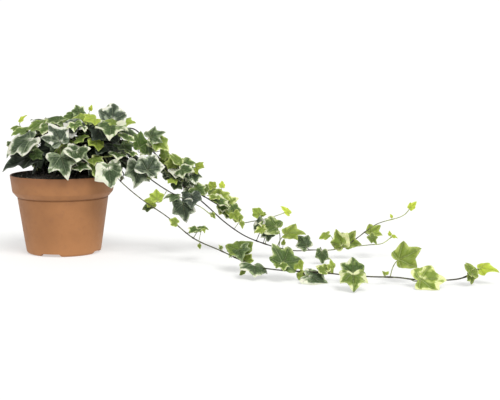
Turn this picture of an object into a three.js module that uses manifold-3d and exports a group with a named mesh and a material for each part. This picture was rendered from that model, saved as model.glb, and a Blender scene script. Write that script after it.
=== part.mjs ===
// A potted ivy: a round terracotta-coloured nursery pot filled with soil, a crown of lobed leaves
// on short shoots, and long trailers that run over the rim and lie along the surface on the right.
// Millimetres, +Z up. The origin is on the pot's axis at the surface it stands on, +X is the way
// the trailers run, and -Y is the front.
import * as THREE from 'three';
import { mergeVertices } from 'three/addons/utils/BufferGeometryUtils.js';
import Module from 'manifold-3d';

const wasm = await Module();
wasm.setup();

// ---------------------------------------------------------------- driving dimensions

const FIT_GAP = 0.3;

const POT = {
  height: 98,
  rimRadius: 65,
  bandHeight: 21,
  bandFootRadius: 62.5,
  chamferHeight: 6.5,
  bodyTopRadius: 56.3,
  footRadius: 46,
  cornerRadius: 4.5,
  wall: 1.6,
  lipHeight: 0.8,
  lipInset: 0.4,
  insideStep: 1,
  insideCorner: 3,
  footRingWidth: 8,
  recess: 3.5,
  floor: 2.5,
  padRadius: 9,
  sides: 32,
};
const NOTCH = { count: 4, width: 25, firstAngle: -103 };
const DRAIN = { count: 4, radius: 4, fromAxis: 26, firstAngle: -58, sides: 8 };

const SOIL = { belowRim: 1.5, mound: 4, lump: 0.8, waves: [0.31, 0.27, 0.13], rings: 4 };

const STEM = { rootDepth: 14, step: 15, sides: 5, clearance: 0.4, branchShare: 0.6 };
const STALK = { width: 1.4, thickness: 1, step: 12, shortest: 1.5, neck: 0.35, sag: 0.15 };
const LEAF = { thickness: 0.7, fold: 0.16, droop: 0.14, wave: 0.04, waves: [7, 9], lowest: 0.5 };

// Half of an ivy leaf's outline, right of its midrib, for a blade of one unit: [across, along].
// The stalk joins at [0, 0] and the tip is at [0, 1]. The faces fan out from the stalk for the
// first few points of the edge, and after that from a point on the midrib.
const LEAF_FORMS = [
  {
    widest: 7.5,
    edge: [[0.38, 0.30]],
    fromStalk: 1,
    middle: null,
  },
  {
    widest: 18.5,
    edge: [[0.26, -0.10], [0.50, 0.20], [0.27, 0.46]],
    fromStalk: 3,
    middle: null,
  },
  {
    widest: Infinity,
    edge: [[0.38, -0.13], [0.40, 0.12], [0.52, 0.36], [0.29, 0.50], [0.21, 0.72]],
    fromStalk: 2,
    middle: 0.45,
  },
];

// ---------------------------------------------------------------- where the stems and leaves are

// A stem is a route of [x, y, z] points that starts below the soil. A leaf is
// [x, y, z, aim, lean, rise, turn, width]: the foot of its blade; the way its tip points, seen from
// the front (0 is right, 90 up); how far the tip leans towards the front; how high its upper face
// looks (90 is straight up) and where to (0 is the front, 90 the right); and its width. The angles
// are in degrees.
const STEMS = {
  trailer_front: {
    thick: [1.5, 0.7],
    route: [
      [36, -22, 84], [36, -22, 104], [50, -27, 112], [64, -32, 106], [77, -38, 92], [103, -50, 72],
      [135, -62, 52], [166, -82, 30], [201, -112, 19], [224, -140, 13], [240, -162, 10],
      [256, -178, 10], [278, -190, 10], [310, -203, 11], [337, -214, 10], [363, -218, 9],
      [394, -218, 8], [413, -220, 6], [447, -222, 6], [466, -216, 8], [481, -212, 16],
    ],
    leaves: [
      [120, -48, 72, 165, 40, 50, 20, 17], [114, -43, 64, -170, 35, 55, -20, 17],
      [146, -70, 46, 145, 5, 35, 20, 10], [171, -84, 41, -165, 50, 60, -20, 14],
      [171, -70, 39, 15, 25, 65, 20, 14], [201, -112, 22, 125, -10, 35, -20, 6],
      [221, -130, 23, 75, -60, 35, 20, 23], [221, -138, 25, -70, 70, 45, -20, 25],
      [229, -139, 12, 55, -5, 35, 20, 11], [214, -132, 22, -110, 45, 35, -20, 8],
      [238, -174, 13, -50, 75, 35, 20, 27], [227, -165, 6, -125, 15, 35, -20, 9],
      [270, -193, 19, 60, -45, 35, 20, 33], [287, -192, 18, -40, 60, 35, -20, 10],
      [267, -200, 19, -25, 65, 50, 20, 13], [292, -200, 8, -100, 65, 40, -30, 17],
      [295, -206, 10, -15, 35, 45, 0, 30], [317, -208, 12, 150, -45, 50, -20, 15],
      [322, -200, 13, 85, 0, 40, 0, 14], [347, -209, 10, 95, -45, 35, -20, 28],
      [345, -222, 12, -75, 75, 35, 20, 34], [381, -215, 11, 45, -40, 35, -20, 6],
      [394, -210, 26, 25, -15, 35, 5, 31], [416, -238, 15, 5, 45, 40, 0, 30],
      [465, -228, 13, 35, -45, 30, 10, 25], [483, -207, 16, 5, 35, 55, -20, 21],
    ],
  },
  trailer_long: {
    thick: [1.8, 0.7],
    route: [
      [22, -3, 84], [22, -3, 106], [42, -4, 130], [72, -4, 140], [98, -2, 131], [131, -2, 103],
      [152, -6, 83], [181, -14, 59], [203, -28, 41], [228, -42, 26], [253, -55, 18], [270, -60, 14],
      [290, -62, 11], [308, -62, 12], [332, -62, 12], [348, -60, 15], [365, -57, 16],
      [380, -54, 17], [395, -50, 18], [406, -47, 25],
    ],
    branch: [
      [348, -60, 15], [366, -54, 27], [376, -50, 34], [390, -46, 42], [418, -38, 49],
      [425, -36, 53], [429, -35, 58],
    ],
    leaves: [
      [138, -6, 108, 110, -25, 35, 20, 15], [140, -22, 93, -160, 55, 35, -20, 12],
      [161, -6, 98, -50, 50, 35, 20, 18], [166, -14, 82, -30, 20, 50, -20, 19],
      [155, -38, 75, -15, 40, 35, 20, 30], [152, -38, 66, -90, 0, 35, -20, 31],
      [224, -32, 42, -85, 15, 35, 20, 9], [250, -48, 38, 25, 0, 35, -20, 23],
      [244, -46, 50, -100, 50, 80, 20, 18], [251, -38, 35, -155, 20, 55, -20, 17],
      [250, -64, 37, -55, 10, 35, 20, 18], [275, -65, 37, 5, 0, 65, -20, 25],
      [308, -60, 15, 130, -20, 35, 20, 20], [316, -66, 12, -90, 35, 35, -20, 18],
      [328, -58, 30, -160, 0, 65, 20, 12], [347, -46, 14, 120, 0, 35, -20, 23],
      [348, -65, 18, 50, -35, 35, 20, 24], [381, -45, 26, 60, -35, 35, -20, 24],
      [380, -56, 27, -45, 15, 60, 0, 12], [405, -43, 27, 95, -15, 35, -20, 6],
      [428, -49, 61, 45, -5, 45, 20, 12],
    ],
  },
  trailer_upper: {
    thick: [1.6, 0.7],
    route: [
      [9, 15, 84], [9, 15, 106], [32, 15, 138], [66, 15, 146], [96, 14, 139], [127, 12, 109],
      [151, 10, 88], [166, 8, 75], [193, 4, 59], [215, 0, 43], [226, -4, 37], [236, -8, 39],
      [251, -10, 42], [266, -8, 46], [278, -6, 50],
    ],
    leaves: [
      [159, 2, 96, -30, 50, 45, 0, 18], [187, 8, 80, 115, -30, 35, -20, 10],
      [187, 27, 70, 100, -40, 35, 20, 12], [191, -9, 71, -170, 60, 35, -20, 14],
      [199, 3, 81, 90, -35, 35, 20, 10], [193, 6, 68, 20, -30, 35, -20, 21],
      [193, -8, 67, -30, 15, 75, 20, 22], [204, 7, 59, 30, -10, 35, -20, 19],
      [213, -4, 51, 65, -30, 35, 20, 15], [214, -14, 50, -65, 45, 35, -20, 12],
      [244, -8, 45, 115, -35, 35, 20, 17], [249, -15, 47, 55, -45, 35, -20, 9],
      [283, -6, 49, 135, 0, 50, 20, 14],
    ],
  },
  shoot_right: {
    thick: [1.4, 0.7],
    route: [
      [38, 10, 84], [38, 10, 106], [58, 28, 142], [84, 28, 153], [108, 16, 135], [129, 8, 125],
      [144, 4, 114], [157, 2, 106], [167, 0, 106],
    ],
    leaves: [
      [98, -22, 131, 85, -25, 40, 35, 26], [80, -2, 152, -30, 40, 45, 50, 22],
      [106, -7, 134, -110, 55, 40, 75, 20], [110, -12, 141, 50, -35, 40, 55, 25],
      [119, 1, 138, -25, 25, 55, 35, 19], [115, -19, 133, 110, 35, 55, 55, 14],
      [145, -16, 113, 110, -35, 30, 55, 20], [145, 14, 113, 5, 25, 65, 55, 18],
      [149, -21, 106, -5, 35, 45, 10, 22], [145, -12, 104, -35, 40, 60, 20, 24],
      [167, -6, 107, 10, 50, 35, 0, 15], [152, -4, 113, -35, 40, 45, 20, 19],
    ],
  },
  trailer_short: {
    thick: [1.4, 0.7],
    route: [
      [36, -9, 84], [36, -9, 106], [60, -14, 120], [88, -20, 113], [112, -26, 94], [133, -28, 80],
      [155, -30, 69], [174, -32, 60], [186, -34, 51],
    ],
    leaves: [
      [92, -28, 110, -85, 15, 35, 20, 28], [106, -38, 106, 80, -45, 35, -20, 32],
      [120, -36, 72, 85, -30, 35, 20, 16], [146, -43, 75, -175, 5, 65, -20, 21],
      [114, -34, 100, -10, 55, 35, 0, 12], [187, -29, 52, -55, 10, 35, -20, 8],
    ],
  },
  shoot_left: {
    thick: [1.5, 0.8],
    route: [
      [-22, -12, 84], [-22, -12, 106], [-32, -13, 124], [-40, -8, 138], [-46, 0, 148],
    ],
    leaves: [
      [-37, -20, 136, -20, 45, 45, -20, 20], [-35, -28, 121, -165, 5, 40, -20, 36],
      [-25, -38, 136, -170, 10, 45, -30, 37], [-53, 6, 163, 50, 0, 50, -30, 12],
      [-32, 18, 158, 150, -35, 65, -35, 16], [-22, -12, 160, -170, 0, 60, -10, 25],
      [-42, -10, 152, -175, 20, 60, -40, 20], [-55, 4, 155, 175, 0, 60, -30, 10],
      [-64, -3, 134, 140, -30, 40, -55, 9], [-28, -38, 127, -30, 30, 50, -15, 14],
      [-14, -26, 160, -115, 55, 45, -25, 21],
    ],
  },
  shoot_front_left: {
    thick: [1.5, 0.8],
    route: [
      [-6, -26, 84], [-6, -26, 106], [-4, -34, 120], [0, -44, 130], [8, -50, 138],
    ],
    leaves: [
      [1, -20, 137, -120, 55, 30, 5, 24], [-10, -20, 131, 140, -35, 35, 0, 26],
      [12, -56, 142, 135, -25, 40, -10, 33], [5, -33, 135, -15, 55, 40, -35, 24],
      [5, -58, 124, -60, 60, 30, -30, 41], [16, -56, 130, -25, 10, 50, 15, 31],
      [26, -63, 135, 0, 25, 60, 0, 21], [28, -59, 113, -5, 20, 60, 20, 18],
    ],
  },
  shoot_top: {
    thick: [1.5, 0.8],
    route: [
      [4, -9, 84], [4, -9, 106], [8, -14, 132], [14, -20, 150], [22, -20, 164], [34, -12, 172],
    ],
    leaves: [
      [10, -28, 157, -50, 50, 45, -10, 22], [34, -6, 164, -20, -45, 60, 5, 21],
      [24, -42, 157, 145, -30, 40, -5, 26], [0, -18, 166, 165, -30, 70, 5, 22],
      [23, -14, 174, 110, -40, 40, -5, 19], [17, -10, 170, 145, -40, 50, 15, 17],
      [24, -28, 167, 35, -20, 60, -5, 18], [37, -10, 178, 70, 0, 40, 25, 7],
      [29, -46, 163, -125, 65, 55, -20, 18], [26, -43, 145, 20, 10, 60, 40, 15],
    ],
  },
  shoot_top_right: {
    thick: [1.5, 0.8],
    route: [
      [22, -30, 84], [22, -30, 106], [34, -32, 130], [46, -34, 146], [58, -30, 156], [68, -24, 160],
    ],
    leaves: [
      [61, -26, 149, -35, 50, 40, 20, 25], [52, -38, 154, -125, 60, 40, 35, 22],
      [47, -35, 171, -175, 50, 50, 10, 20], [69, -24, 167, 100, -50, 50, 45, 33],
      [76, -16, 162, 10, 20, 50, 30, 20], [74, -38, 163, 165, 10, 70, 45, 22],
      [75, -44, 160, -145, 70, 60, -25, 38], [47, -41, 142, -55, 50, 20, 35, 17],
      [39, -50, 157, -45, 45, 45, 5, 15], [88, -57, 145, 135, -45, 50, 55, 18],
    ],
  },
  shoot_front_right: {
    thick: [1.5, 0.8],
    route: [
      [10, -42, 84], [10, -42, 103], [24, -48, 114], [40, -50, 120], [56, -48, 123], [70, -44, 125],
    ],
    leaves: [
      [79, -38, 137, -25, 40, 45, 30, 21], [46, -56, 109, 30, -30, 40, 30, 18],
      [45, -52, 122, -10, 30, 55, 10, 16], [64, -60, 115, -65, 40, 35, 40, 32],
      [74, -50, 128, -45, 75, 60, 25, 18], [89, -44, 129, -30, 65, 60, 55, 14],
      [57, -36, 137, -130, 65, 50, 15, 24],
    ],
  },
};

// The far side of the crown: shoots that lean outwards, each with the leaves of its own sector of
// a dome. Angles go round from the right (0) over the back (90) to the left (180).
const DOME = { centre: [14, 6, 96], radii: [68, 60, 64] };
const BACK = {
  seed: 225,
  sectors: [46, 86, 126, 166],
  rootRadius: 36,
  straight: 8,
  stem: [1.5, 0.8],
  bends: [{ rise: 48, depth: 0.55 }, { rise: 34, depth: 0.72 }],
  outward: 0.6,
  vary: { angle: 4, rise: 8, swing: 50, width: 0.3 },
  rows: [
    { rise: 16, count: 2, spread: 18, depth: 1, width: 27 },
    { rise: 38, count: 2, spread: 17, depth: 1, width: 30 },
    { rise: 62, count: 1, spread: 0, depth: 1, width: 32 },
    { rise: 32, count: 1, spread: 0, depth: 0.78, width: 26 },
    { rise: 54, count: 1, spread: 0, depth: 0.8, width: 28 },
  ],
};

// ---------------------------------------------------------------- helpers

const radians = (angle) => angle * Math.PI / 180;
const degrees = (angle) => angle * 180 / Math.PI;
const vector = (point) => new THREE.Vector3(...point);

function seededRandom(seed) {
  let state = seed;
  return () => {
    state = (state + 0x6d2b79f5) | 0;
    let mixed = Math.imul(state ^ (state >>> 15), 1 | state);
    mixed = (mixed + Math.imul(mixed ^ (mixed >>> 7), 61 | mixed)) ^ mixed;
    return ((mixed ^ (mixed >>> 14)) >>> 0) / 4294967296;
  };
}

function solidFrom(geometry) {
  geometry.deleteAttribute('normal');
  geometry.deleteAttribute('uv');
  const merged = mergeVertices(geometry, 1e-4);
  return new wasm.Manifold(new wasm.Mesh({
    numProp: 3,
    vertProperties: new Float32Array(merged.attributes.position.array),
    triVerts: new Uint32Array(merged.index.array),
  }));
}

function solidFromFaces(points, faces) {
  const geometry = new THREE.BufferGeometry().setFromPoints(points);
  geometry.setIndex(faces.flat());
  return solidFrom(geometry);
}

function fuse(solids) {
  if (solids.length === 1) {
    return solids[0];
  }
  const half = solids.length >> 1;
  return fuse(solids.slice(0, half)).add(fuse(solids.slice(half)));
}

// Keeps the main body: a hollow that fusing sealed is filled, and a loose scrap is dropped.
function mainBody(solid) {
  const bodies = solid.decompose();
  return bodies.reduce((largest, body) => (body.volume() > largest.volume() ? body : largest));
}

function meshFrom(name, solid, material) {
  const { vertProperties, triVerts } = solid.getMesh();
  const geometry = new THREE.BufferGeometry();
  geometry.setAttribute('position', new THREE.BufferAttribute(new Float32Array(vertProperties), 3));
  geometry.setIndex(new THREE.BufferAttribute(new Uint32Array(triVerts), 1));
  geometry.computeVertexNormals();
  const mesh = new THREE.Mesh(geometry, material);
  mesh.name = name;
  return mesh;
}

// A round solid from its profile of [radius, height] points, turned about the Z axis.
function lathe(profile, sides) {
  const points = profile.map(([radius, height]) => new THREE.Vector2(radius, height));
  return new THREE.LatheGeometry(points, sides).rotateX(Math.PI / 2);
}

// A tapering tube along a line of points, closed at both ends.
function tube(line, radii, sides) {
  const last = line.length - 1;
  const points = [];
  const faces = [];
  let across = new THREE.Vector3(0.3, 1, 0.2);
  line.forEach((point, i) => {
    const along = line[Math.min(i + 1, last)].clone().sub(line[Math.max(i - 1, 0)]).normalize();
    across = across.clone().addScaledVector(along, -across.dot(along)).normalize();
    const third = along.clone().cross(across);
    const radius = THREE.MathUtils.lerp(radii[0], radii[1], i / last);
    for (let side = 0; side < sides; side += 1) {
      const angle = 2 * Math.PI * side / sides;
      points.push(point.clone()
        .addScaledVector(across, radius * Math.cos(angle))
        .addScaledVector(third, radius * Math.sin(angle)));
    }
  });
  for (let i = 0; i < last; i += 1) {
    for (let side = 0; side < sides; side += 1) {
      const a = i * sides + side;
      const b = i * sides + (side + 1) % sides;
      faces.push([a, b, b + sides], [a, b + sides, a + sides]);
    }
  }
  for (let side = 1; side < sides - 1; side += 1) {
    const end = last * sides;
    faces.push([0, side + 1, side], [end, end + side, end + side + 1]);
  }
  return solidFromFaces(points, faces);
}

function nearestOn(line, target) {
  const spans = line.slice(1).map((point, i) => new THREE.Line3(line[i], point));
  const points = spans.map((span) => span.closestPointToPoint(target, true, new THREE.Vector3()));
  return points.reduce((best, point) => (
    point.distanceTo(target) < best.distanceTo(target) ? point : best));
}

// ---------------------------------------------------------------- pot

function potProfile() {
  const { height, wall, recess, floor, footRadius, cornerRadius, bodyTopRadius } = POT;
  const bandFoot = height - POT.bandHeight;
  const bodyTop = bandFoot - POT.chamferHeight;
  const inside = recess + floor;
  const corner = [];
  for (const angle of [-90, -45, 0]) {
    corner.push([
      footRadius - cornerRadius + cornerRadius * Math.cos(radians(angle)),
      cornerRadius + cornerRadius * Math.sin(radians(angle)),
    ]);
  }
  return [
    [0, 0], [POT.padRadius, 0], [POT.padRadius, recess],
    [footRadius - POT.footRingWidth, recess], [footRadius - POT.footRingWidth, 0],
    ...corner,
    [bodyTopRadius, bodyTop], [POT.bandFootRadius, bandFoot],
    [POT.rimRadius, height - POT.lipHeight], [POT.rimRadius - POT.lipInset, height],
    [POT.rimRadius - wall, height], [POT.bandFootRadius - wall, bandFoot + POT.insideStep],
    [bodyTopRadius - wall, bodyTop + POT.insideStep],
    [footRadius - wall, inside + POT.insideCorner],
    [footRadius - wall - POT.insideCorner, inside], [0, inside],
  ];
}

function makePot() {
  let pot = solidFrom(lathe(potProfile(), POT.sides));
  for (let i = 0; i < NOTCH.count; i += 1) {
    const cut = new THREE.BoxGeometry(NOTCH.width, 3 * POT.footRingWidth, 2 * POT.recess);
    cut.translate(0, -POT.footRadius, 0);
    cut.rotateZ(radians(NOTCH.firstAngle + 360 * i / NOTCH.count));
    pot = pot.subtract(solidFrom(cut));
  }
  for (let i = 0; i < DRAIN.count; i += 1) {
    const hole = new THREE.CylinderGeometry(DRAIN.radius, DRAIN.radius, 4 * POT.floor, DRAIN.sides);
    hole.rotateX(Math.PI / 2);
    hole.translate(0, -DRAIN.fromAxis, POT.recess + POT.floor / 2);
    hole.rotateZ(radians(DRAIN.firstAngle + 360 * i / DRAIN.count));
    pot = pot.subtract(solidFrom(hole));
  }
  return pot;
}

// ---------------------------------------------------------------- soil

function soilProfile() {
  const bandFoot = POT.height - POT.bandHeight;
  const bodyTop = bandFoot - POT.chamferHeight;
  const inset = POT.wall + FIT_GAP;
  const bottom = POT.recess + POT.floor + FIT_GAP;
  const top = POT.height - SOIL.belowRim;
  const flare = (POT.rimRadius - POT.bandFootRadius) / POT.bandHeight;
  const edge = POT.rimRadius - inset - flare * SOIL.belowRim;
  const corner = POT.insideCorner + FIT_GAP;
  const step = POT.insideStep + FIT_GAP;
  const surface = [];
  for (let ring = 0; ring < SOIL.rings; ring += 1) {
    const share = ring / SOIL.rings;
    surface.push([edge * (1 - share), top + SOIL.mound * Math.sin(share * Math.PI / 2)]);
  }
  return [
    [0, bottom], [POT.footRadius - inset - corner, bottom],
    [POT.footRadius - inset, bottom + corner],
    [POT.bodyTopRadius - inset, bodyTop + step], [POT.bandFootRadius - inset, bandFoot + step],
    ...surface,
    [0, top + SOIL.mound],
  ];
}

// Raises and sinks the soil's top by a formula, away from the pot's wall.
function roughenSoil(geometry) {
  const places = geometry.attributes.position;
  const top = POT.height - SOIL.belowRim + FIT_GAP;
  const [wide, deep, skew] = SOIL.waves;
  for (let i = 0; i < places.count; i += 1) {
    if (places.getZ(i) > top) {
      const x = places.getX(i);
      const y = places.getY(i);
      const lump = Math.sin(wide * x) * Math.sin(deep * y) + Math.sin(skew * (x - y));
      places.setZ(i, places.getZ(i) + SOIL.lump * lump);
    }
  }
  return geometry;
}

function makeSoil(stems) {
  const holes = stems.map((stem) => {
    const line = stem.line.map((point) => point.clone()).slice(0, 5);
    line[0].z -= FIT_GAP;
    const radius = stem.thick[0] + STEM.clearance;
    return tube(line, [radius, radius], STEM.sides);
  });
  const body = solidFrom(roughenSoil(lathe(soilProfile(), POT.sides)));
  return mainBody(body.subtract(fuse(holes)));
}

// ---------------------------------------------------------------- leaves

// A blade's own axes: along its midrib, out of its upper face, and across it.
function bladeAxes([, , , aim, lean, rise, turn]) {
  const along = new THREE.Vector3(
    Math.cos(radians(lean)) * Math.cos(radians(aim)),
    -Math.sin(radians(lean)),
    Math.cos(radians(lean)) * Math.sin(radians(aim)),
  );
  const facing = new THREE.Vector3(
    Math.cos(radians(rise)) * Math.sin(radians(turn)),
    -Math.cos(radians(rise)) * Math.cos(radians(turn)),
    Math.sin(radians(rise)),
  );
  const up = facing.addScaledVector(along, -facing.dot(along)).normalize();
  return { along, up, across: along.clone().cross(up) };
}

// How far a point of the blade stands above its stalk's end, for a blade of one unit.
function bladeHeight(across, along) {
  const reach = across * across + along * along;
  const wave = LEAF.wave * Math.sin(LEAF.waves[0] * across + LEAF.waves[1] * along);
  return LEAF.fold * Math.abs(across) - LEAF.droop * reach + wave;
}

// A leaf's corners, the triangles of its upper face, and its outline, as [across, along] for a
// blade of one unit. Corners 0 and 1 are the right and left of the stalk's end, and 2 is the tip.
function bladePattern({ edge, fromStalk, middle }, stalkHalf) {
  const corners = [[stalkHalf, 0], [-stalkHalf, 0], [0, 1]];
  const hub = middle === null ? 2 : 3;
  if (middle !== null) {
    corners.push([0, middle]);
  }
  const right = edge.map((point, i) => corners.length + i);
  const left = right.map((corner) => corner + edge.length);
  corners.push(...edge, ...edge.map(([across, along]) => [-across, along]));
  const faces = [[1, 0, hub]];
  for (const [side, rim] of [[0, [...right, 2]], [1, [...left, 2]]]) {
    const half = [];
    for (let i = 1; i < rim.length; i += 1) {
      half.push([i < fromStalk || hub === 2 ? side : hub, rim[i - 1], rim[i]]);
    }
    if (hub !== 2) {
      half.push([side, rim[fromStalk - 1], hub]);
    }
    faces.push(...half.map(([a, b, c]) => (side === 0 ? [a, b, c] : [a, c, b])));
  }
  return { corners, faces, outline: [0, ...right, 2, ...left.reverse(), 1] };
}

// The stalk's middle line, from the nearest place on its stem to the blade's foot.
function stalkLine(foot, width, axes, stemPoints) {
  const joint = nearestOn(stemPoints, foot.clone().addScaledVector(axes.along, -STALK.neck * width));
  if (joint.distanceTo(foot) < STALK.shortest) {
    joint.copy(foot).addScaledVector(axes.along, -STALK.shortest);
  }
  const length = joint.distanceTo(foot);
  const bend = foot.clone()
    .addScaledVector(axes.along, -STALK.neck * length)
    .addScaledVector(axes.up, -STALK.sag * length);
  const steps = length < STALK.step ? 1 : 2;
  const line = new THREE.QuadraticBezierCurve3(joint, bend, foot).getPoints(steps);
  line.pop();
  return line;
}

// One leaf, its blade and stalk in one closed body of even thickness.
function makeLeaf(leaf, axes, stemPoints) {
  const width = leaf[7];
  const foot = vector(leaf.slice(0, 3));
  const form = LEAF_FORMS.find(({ widest }) => width < widest);
  const { corners, faces, outline } = bladePattern(form, STALK.width / 2 / width);
  const upper = [];
  const lower = [];
  const addCorner = (point, up, thickness) => {
    point.z = Math.max(point.z, LEAF.lowest);
    upper.push(point.clone().addScaledVector(up, thickness / 2));
    lower.push(point.clone().addScaledVector(up, -thickness / 2));
  };
  for (const [across, along] of corners) {
    const point = foot.clone()
      .addScaledVector(axes.across, width * across)
      .addScaledVector(axes.along, width * along)
      .addScaledVector(axes.up, width * bladeHeight(across, along));
    addCorner(point, axes.up, LEAF.thickness);
  }
  const line = stalkLine(foot, width, axes, stemPoints);
  let [right, left] = [0, 1];
  for (let i = line.length - 1; i >= 0; i -= 1) {
    const along = (line[i + 1] ?? foot).clone().sub(line[i]).normalize();
    const across = axes.across.clone().addScaledVector(along, -along.dot(axes.across)).normalize();
    const up = across.clone().cross(along);
    for (const side of [1, -1]) {
      const point = line[i].clone().addScaledVector(across, side * STALK.width / 2);
      addCorner(point, up, STALK.thickness);
    }
    const nextRight = upper.length - 2;
    faces.push([nextRight, right, left], [nextRight, left, nextRight + 1]);
    [right, left] = [nextRight, nextRight + 1];
    outline.unshift(right);
    outline.push(left);
  }
  const count = upper.length;
  const shell = faces.flatMap(([a, b, c]) => [[a, b, c], [a + count, c + count, b + count]]);
  outline.forEach((a, i) => {
    const b = outline[(i + 1) % outline.length];
    shell.push([b, a, a + count], [b, a + count, b + count]);
  });
  return solidFromFaces([...upper, ...lower], shell);
}

// ---------------------------------------------------------------- stems

const stemLine = (route) => {
  const curve = new THREE.CatmullRomCurve3(route.map(vector), false, 'centripetal');
  return curve.getSpacedPoints(Math.ceil(curve.getLength() / STEM.step));
};

function makeLeafyStem({ thick, line, branch, leaves }) {
  const aboveSoil = line.filter((point) => point.z > POT.height || point.x > POT.rimRadius);
  const carriers = [aboveSoil];
  const solids = [tube(line, thick, STEM.sides)];
  if (branch) {
    const side = stemLine(branch);
    carriers.push(side);
    solids.push(tube(side, [STEM.branchShare * thick[0], thick[1]], STEM.sides));
  }
  for (const leaf of leaves) {
    const axes = bladeAxes(leaf);
    const foot = vector(leaf.slice(0, 3));
    const nearest = (carrier) => nearestOn(carrier, foot).distanceTo(foot);
    const carrier = carriers.reduce((best, other) => (nearest(other) < nearest(best) ? other : best));
    solids.push(makeLeaf(leaf, axes, carrier));
  }
  return mainBody(fuse(solids));
}

function onDome(angle, rise, depth) {
  return vector(DOME.centre).add(new THREE.Vector3(
    DOME.radii[0] * depth * Math.cos(radians(angle)) * Math.cos(radians(rise)),
    DOME.radii[1] * depth * Math.sin(radians(angle)) * Math.cos(radians(rise)),
    DOME.radii[2] * depth * Math.sin(radians(rise)),
  ));
}

// A leaf of the dome faces outwards, with its tip hanging down and a little away from the crown.
function domeLeaf(angle, rise, depth, width, random) {
  const { vary } = BACK;
  const spread = (range) => range * (random() - 0.5);
  const foot = onDome(angle + spread(vary.angle), rise + spread(vary.rise), depth);
  const facing = foot.clone().sub(vector(DOME.centre)).normalize();
  const hang = new THREE.Vector3(0, 0, -1).applyAxisAngle(facing, radians(spread(vary.swing)));
  hang.addScaledVector(facing, BACK.outward - hang.dot(facing)).normalize();
  return [
    ...foot.toArray(),
    degrees(Math.atan2(hang.z, hang.x)), degrees(Math.asin(-hang.y)),
    degrees(Math.asin(facing.z)), degrees(Math.atan2(facing.x, -facing.y)),
    width * (1 + spread(vary.width)),
  ];
}

// A shoot at the back of the crown: its route, and the leaves of its sector of the dome.
function backShoot(sector, random) {
  const x = BACK.rootRadius * Math.cos(radians(sector));
  const y = BACK.rootRadius * Math.sin(radians(sector));
  const route = [
    [x, y, POT.height - STEM.rootDepth], [x, y, POT.height + BACK.straight],
    ...BACK.bends.map(({ rise, depth }) => onDome(sector, rise, depth).toArray()),
  ];
  const leaves = [];
  for (const { rise, count, spread, depth, width } of BACK.rows) {
    for (let i = 0; i < count; i += 1) {
      const angle = sector + spread * (i - (count - 1) / 2);
      leaves.push(domeLeaf(angle, rise, depth, width, random));
    }
  }
  return { thick: BACK.stem, route, leaves };
}

// ---------------------------------------------------------------- assembly

const MATERIALS = {
  pot: new THREE.MeshStandardMaterial({ color: 0xad7c53, roughness: 0.55, metalness: 0 }),
  soil: new THREE.MeshStandardMaterial({ color: 0x342f28, roughness: 1, metalness: 0 }),
  leaf: new THREE.MeshStandardMaterial({ color: 0x647643, roughness: 0.6, metalness: 0 }),
};

const stems = Object.entries(STEMS).map(([name, stem]) => ({ name, ...stem }));
const random = seededRandom(BACK.seed);
BACK.sectors.forEach((sector, i) => {
  stems.push({ name: `shoot_back_${i + 1}`, ...backShoot(sector, random) });
});
for (const stem of stems) {
  stem.line = stemLine(stem.route);
}

const ivy = new THREE.Group();
ivy.name = 'potted_ivy';
ivy.add(meshFrom('pot', makePot(), MATERIALS.pot));
ivy.add(meshFrom('soil', makeSoil(stems), MATERIALS.soil));
for (const stem of stems) {
  ivy.add(meshFrom(stem.name, makeLeafyStem(stem), MATERIALS.leaf));
}

export default ivy;
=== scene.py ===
"""A potted ivy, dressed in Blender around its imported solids.

The pot is a smooth terracotta-coloured nursery pot and the soil is crumbly. Each leafy stem is one
fine piece with its bark, its stalks and its lobed, veined, cream-edged leaves. Metres, +Z up, in the
solids' own frame: the origin is on the pot's axis at the surface it stands on, +X is the way the
trailers run, and -Y is the front.
"""

import math
from types import SimpleNamespace as Values

import bpy
import numpy as np
from mathutils import Matrix, Vector, noise

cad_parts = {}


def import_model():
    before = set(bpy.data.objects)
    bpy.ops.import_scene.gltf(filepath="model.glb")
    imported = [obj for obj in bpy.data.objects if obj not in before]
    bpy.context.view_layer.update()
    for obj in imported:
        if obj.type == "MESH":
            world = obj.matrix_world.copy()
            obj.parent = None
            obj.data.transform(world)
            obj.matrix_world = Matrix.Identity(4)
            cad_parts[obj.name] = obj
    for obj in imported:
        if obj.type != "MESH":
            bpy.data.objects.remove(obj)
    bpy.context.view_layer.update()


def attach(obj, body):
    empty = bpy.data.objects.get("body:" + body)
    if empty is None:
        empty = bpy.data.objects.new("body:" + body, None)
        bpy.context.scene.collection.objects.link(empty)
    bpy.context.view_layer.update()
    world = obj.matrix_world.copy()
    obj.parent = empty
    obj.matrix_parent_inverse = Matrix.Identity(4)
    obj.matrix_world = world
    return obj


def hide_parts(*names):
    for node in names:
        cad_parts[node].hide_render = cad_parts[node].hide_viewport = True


# ---------------------------------------------------------------- driving dimensions

POT = Values(
    height=0.098,
    rim_radius=0.065,
    band_height=0.021,
    band_foot_radius=0.0625,
    chamfer_height=0.0065,
    ledge=0.0011,
    groove=0.0006,
    body_top_radius=0.0563,
    foot_radius=0.046,
    corner_radius=0.0045,
    wall=0.0016,
    lip_height=0.0008,
    lip_inset=0.0004,
    inside_step=0.001,
    inside_corner=0.003,
    foot_ring_width=0.008,
    recess=0.0035,
    floor=0.0025,
    pad_radius=0.009,
    edge_radius=0.0005,
    corner_steps=4,
    sides=160,
)
NOTCH = Values(count=4, width=0.025, slant=0.0022, first_angle=-103)
DRAIN = Values(count=4, radius=0.004, from_axis=0.026, first_angle=-58, sides=40)

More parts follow.
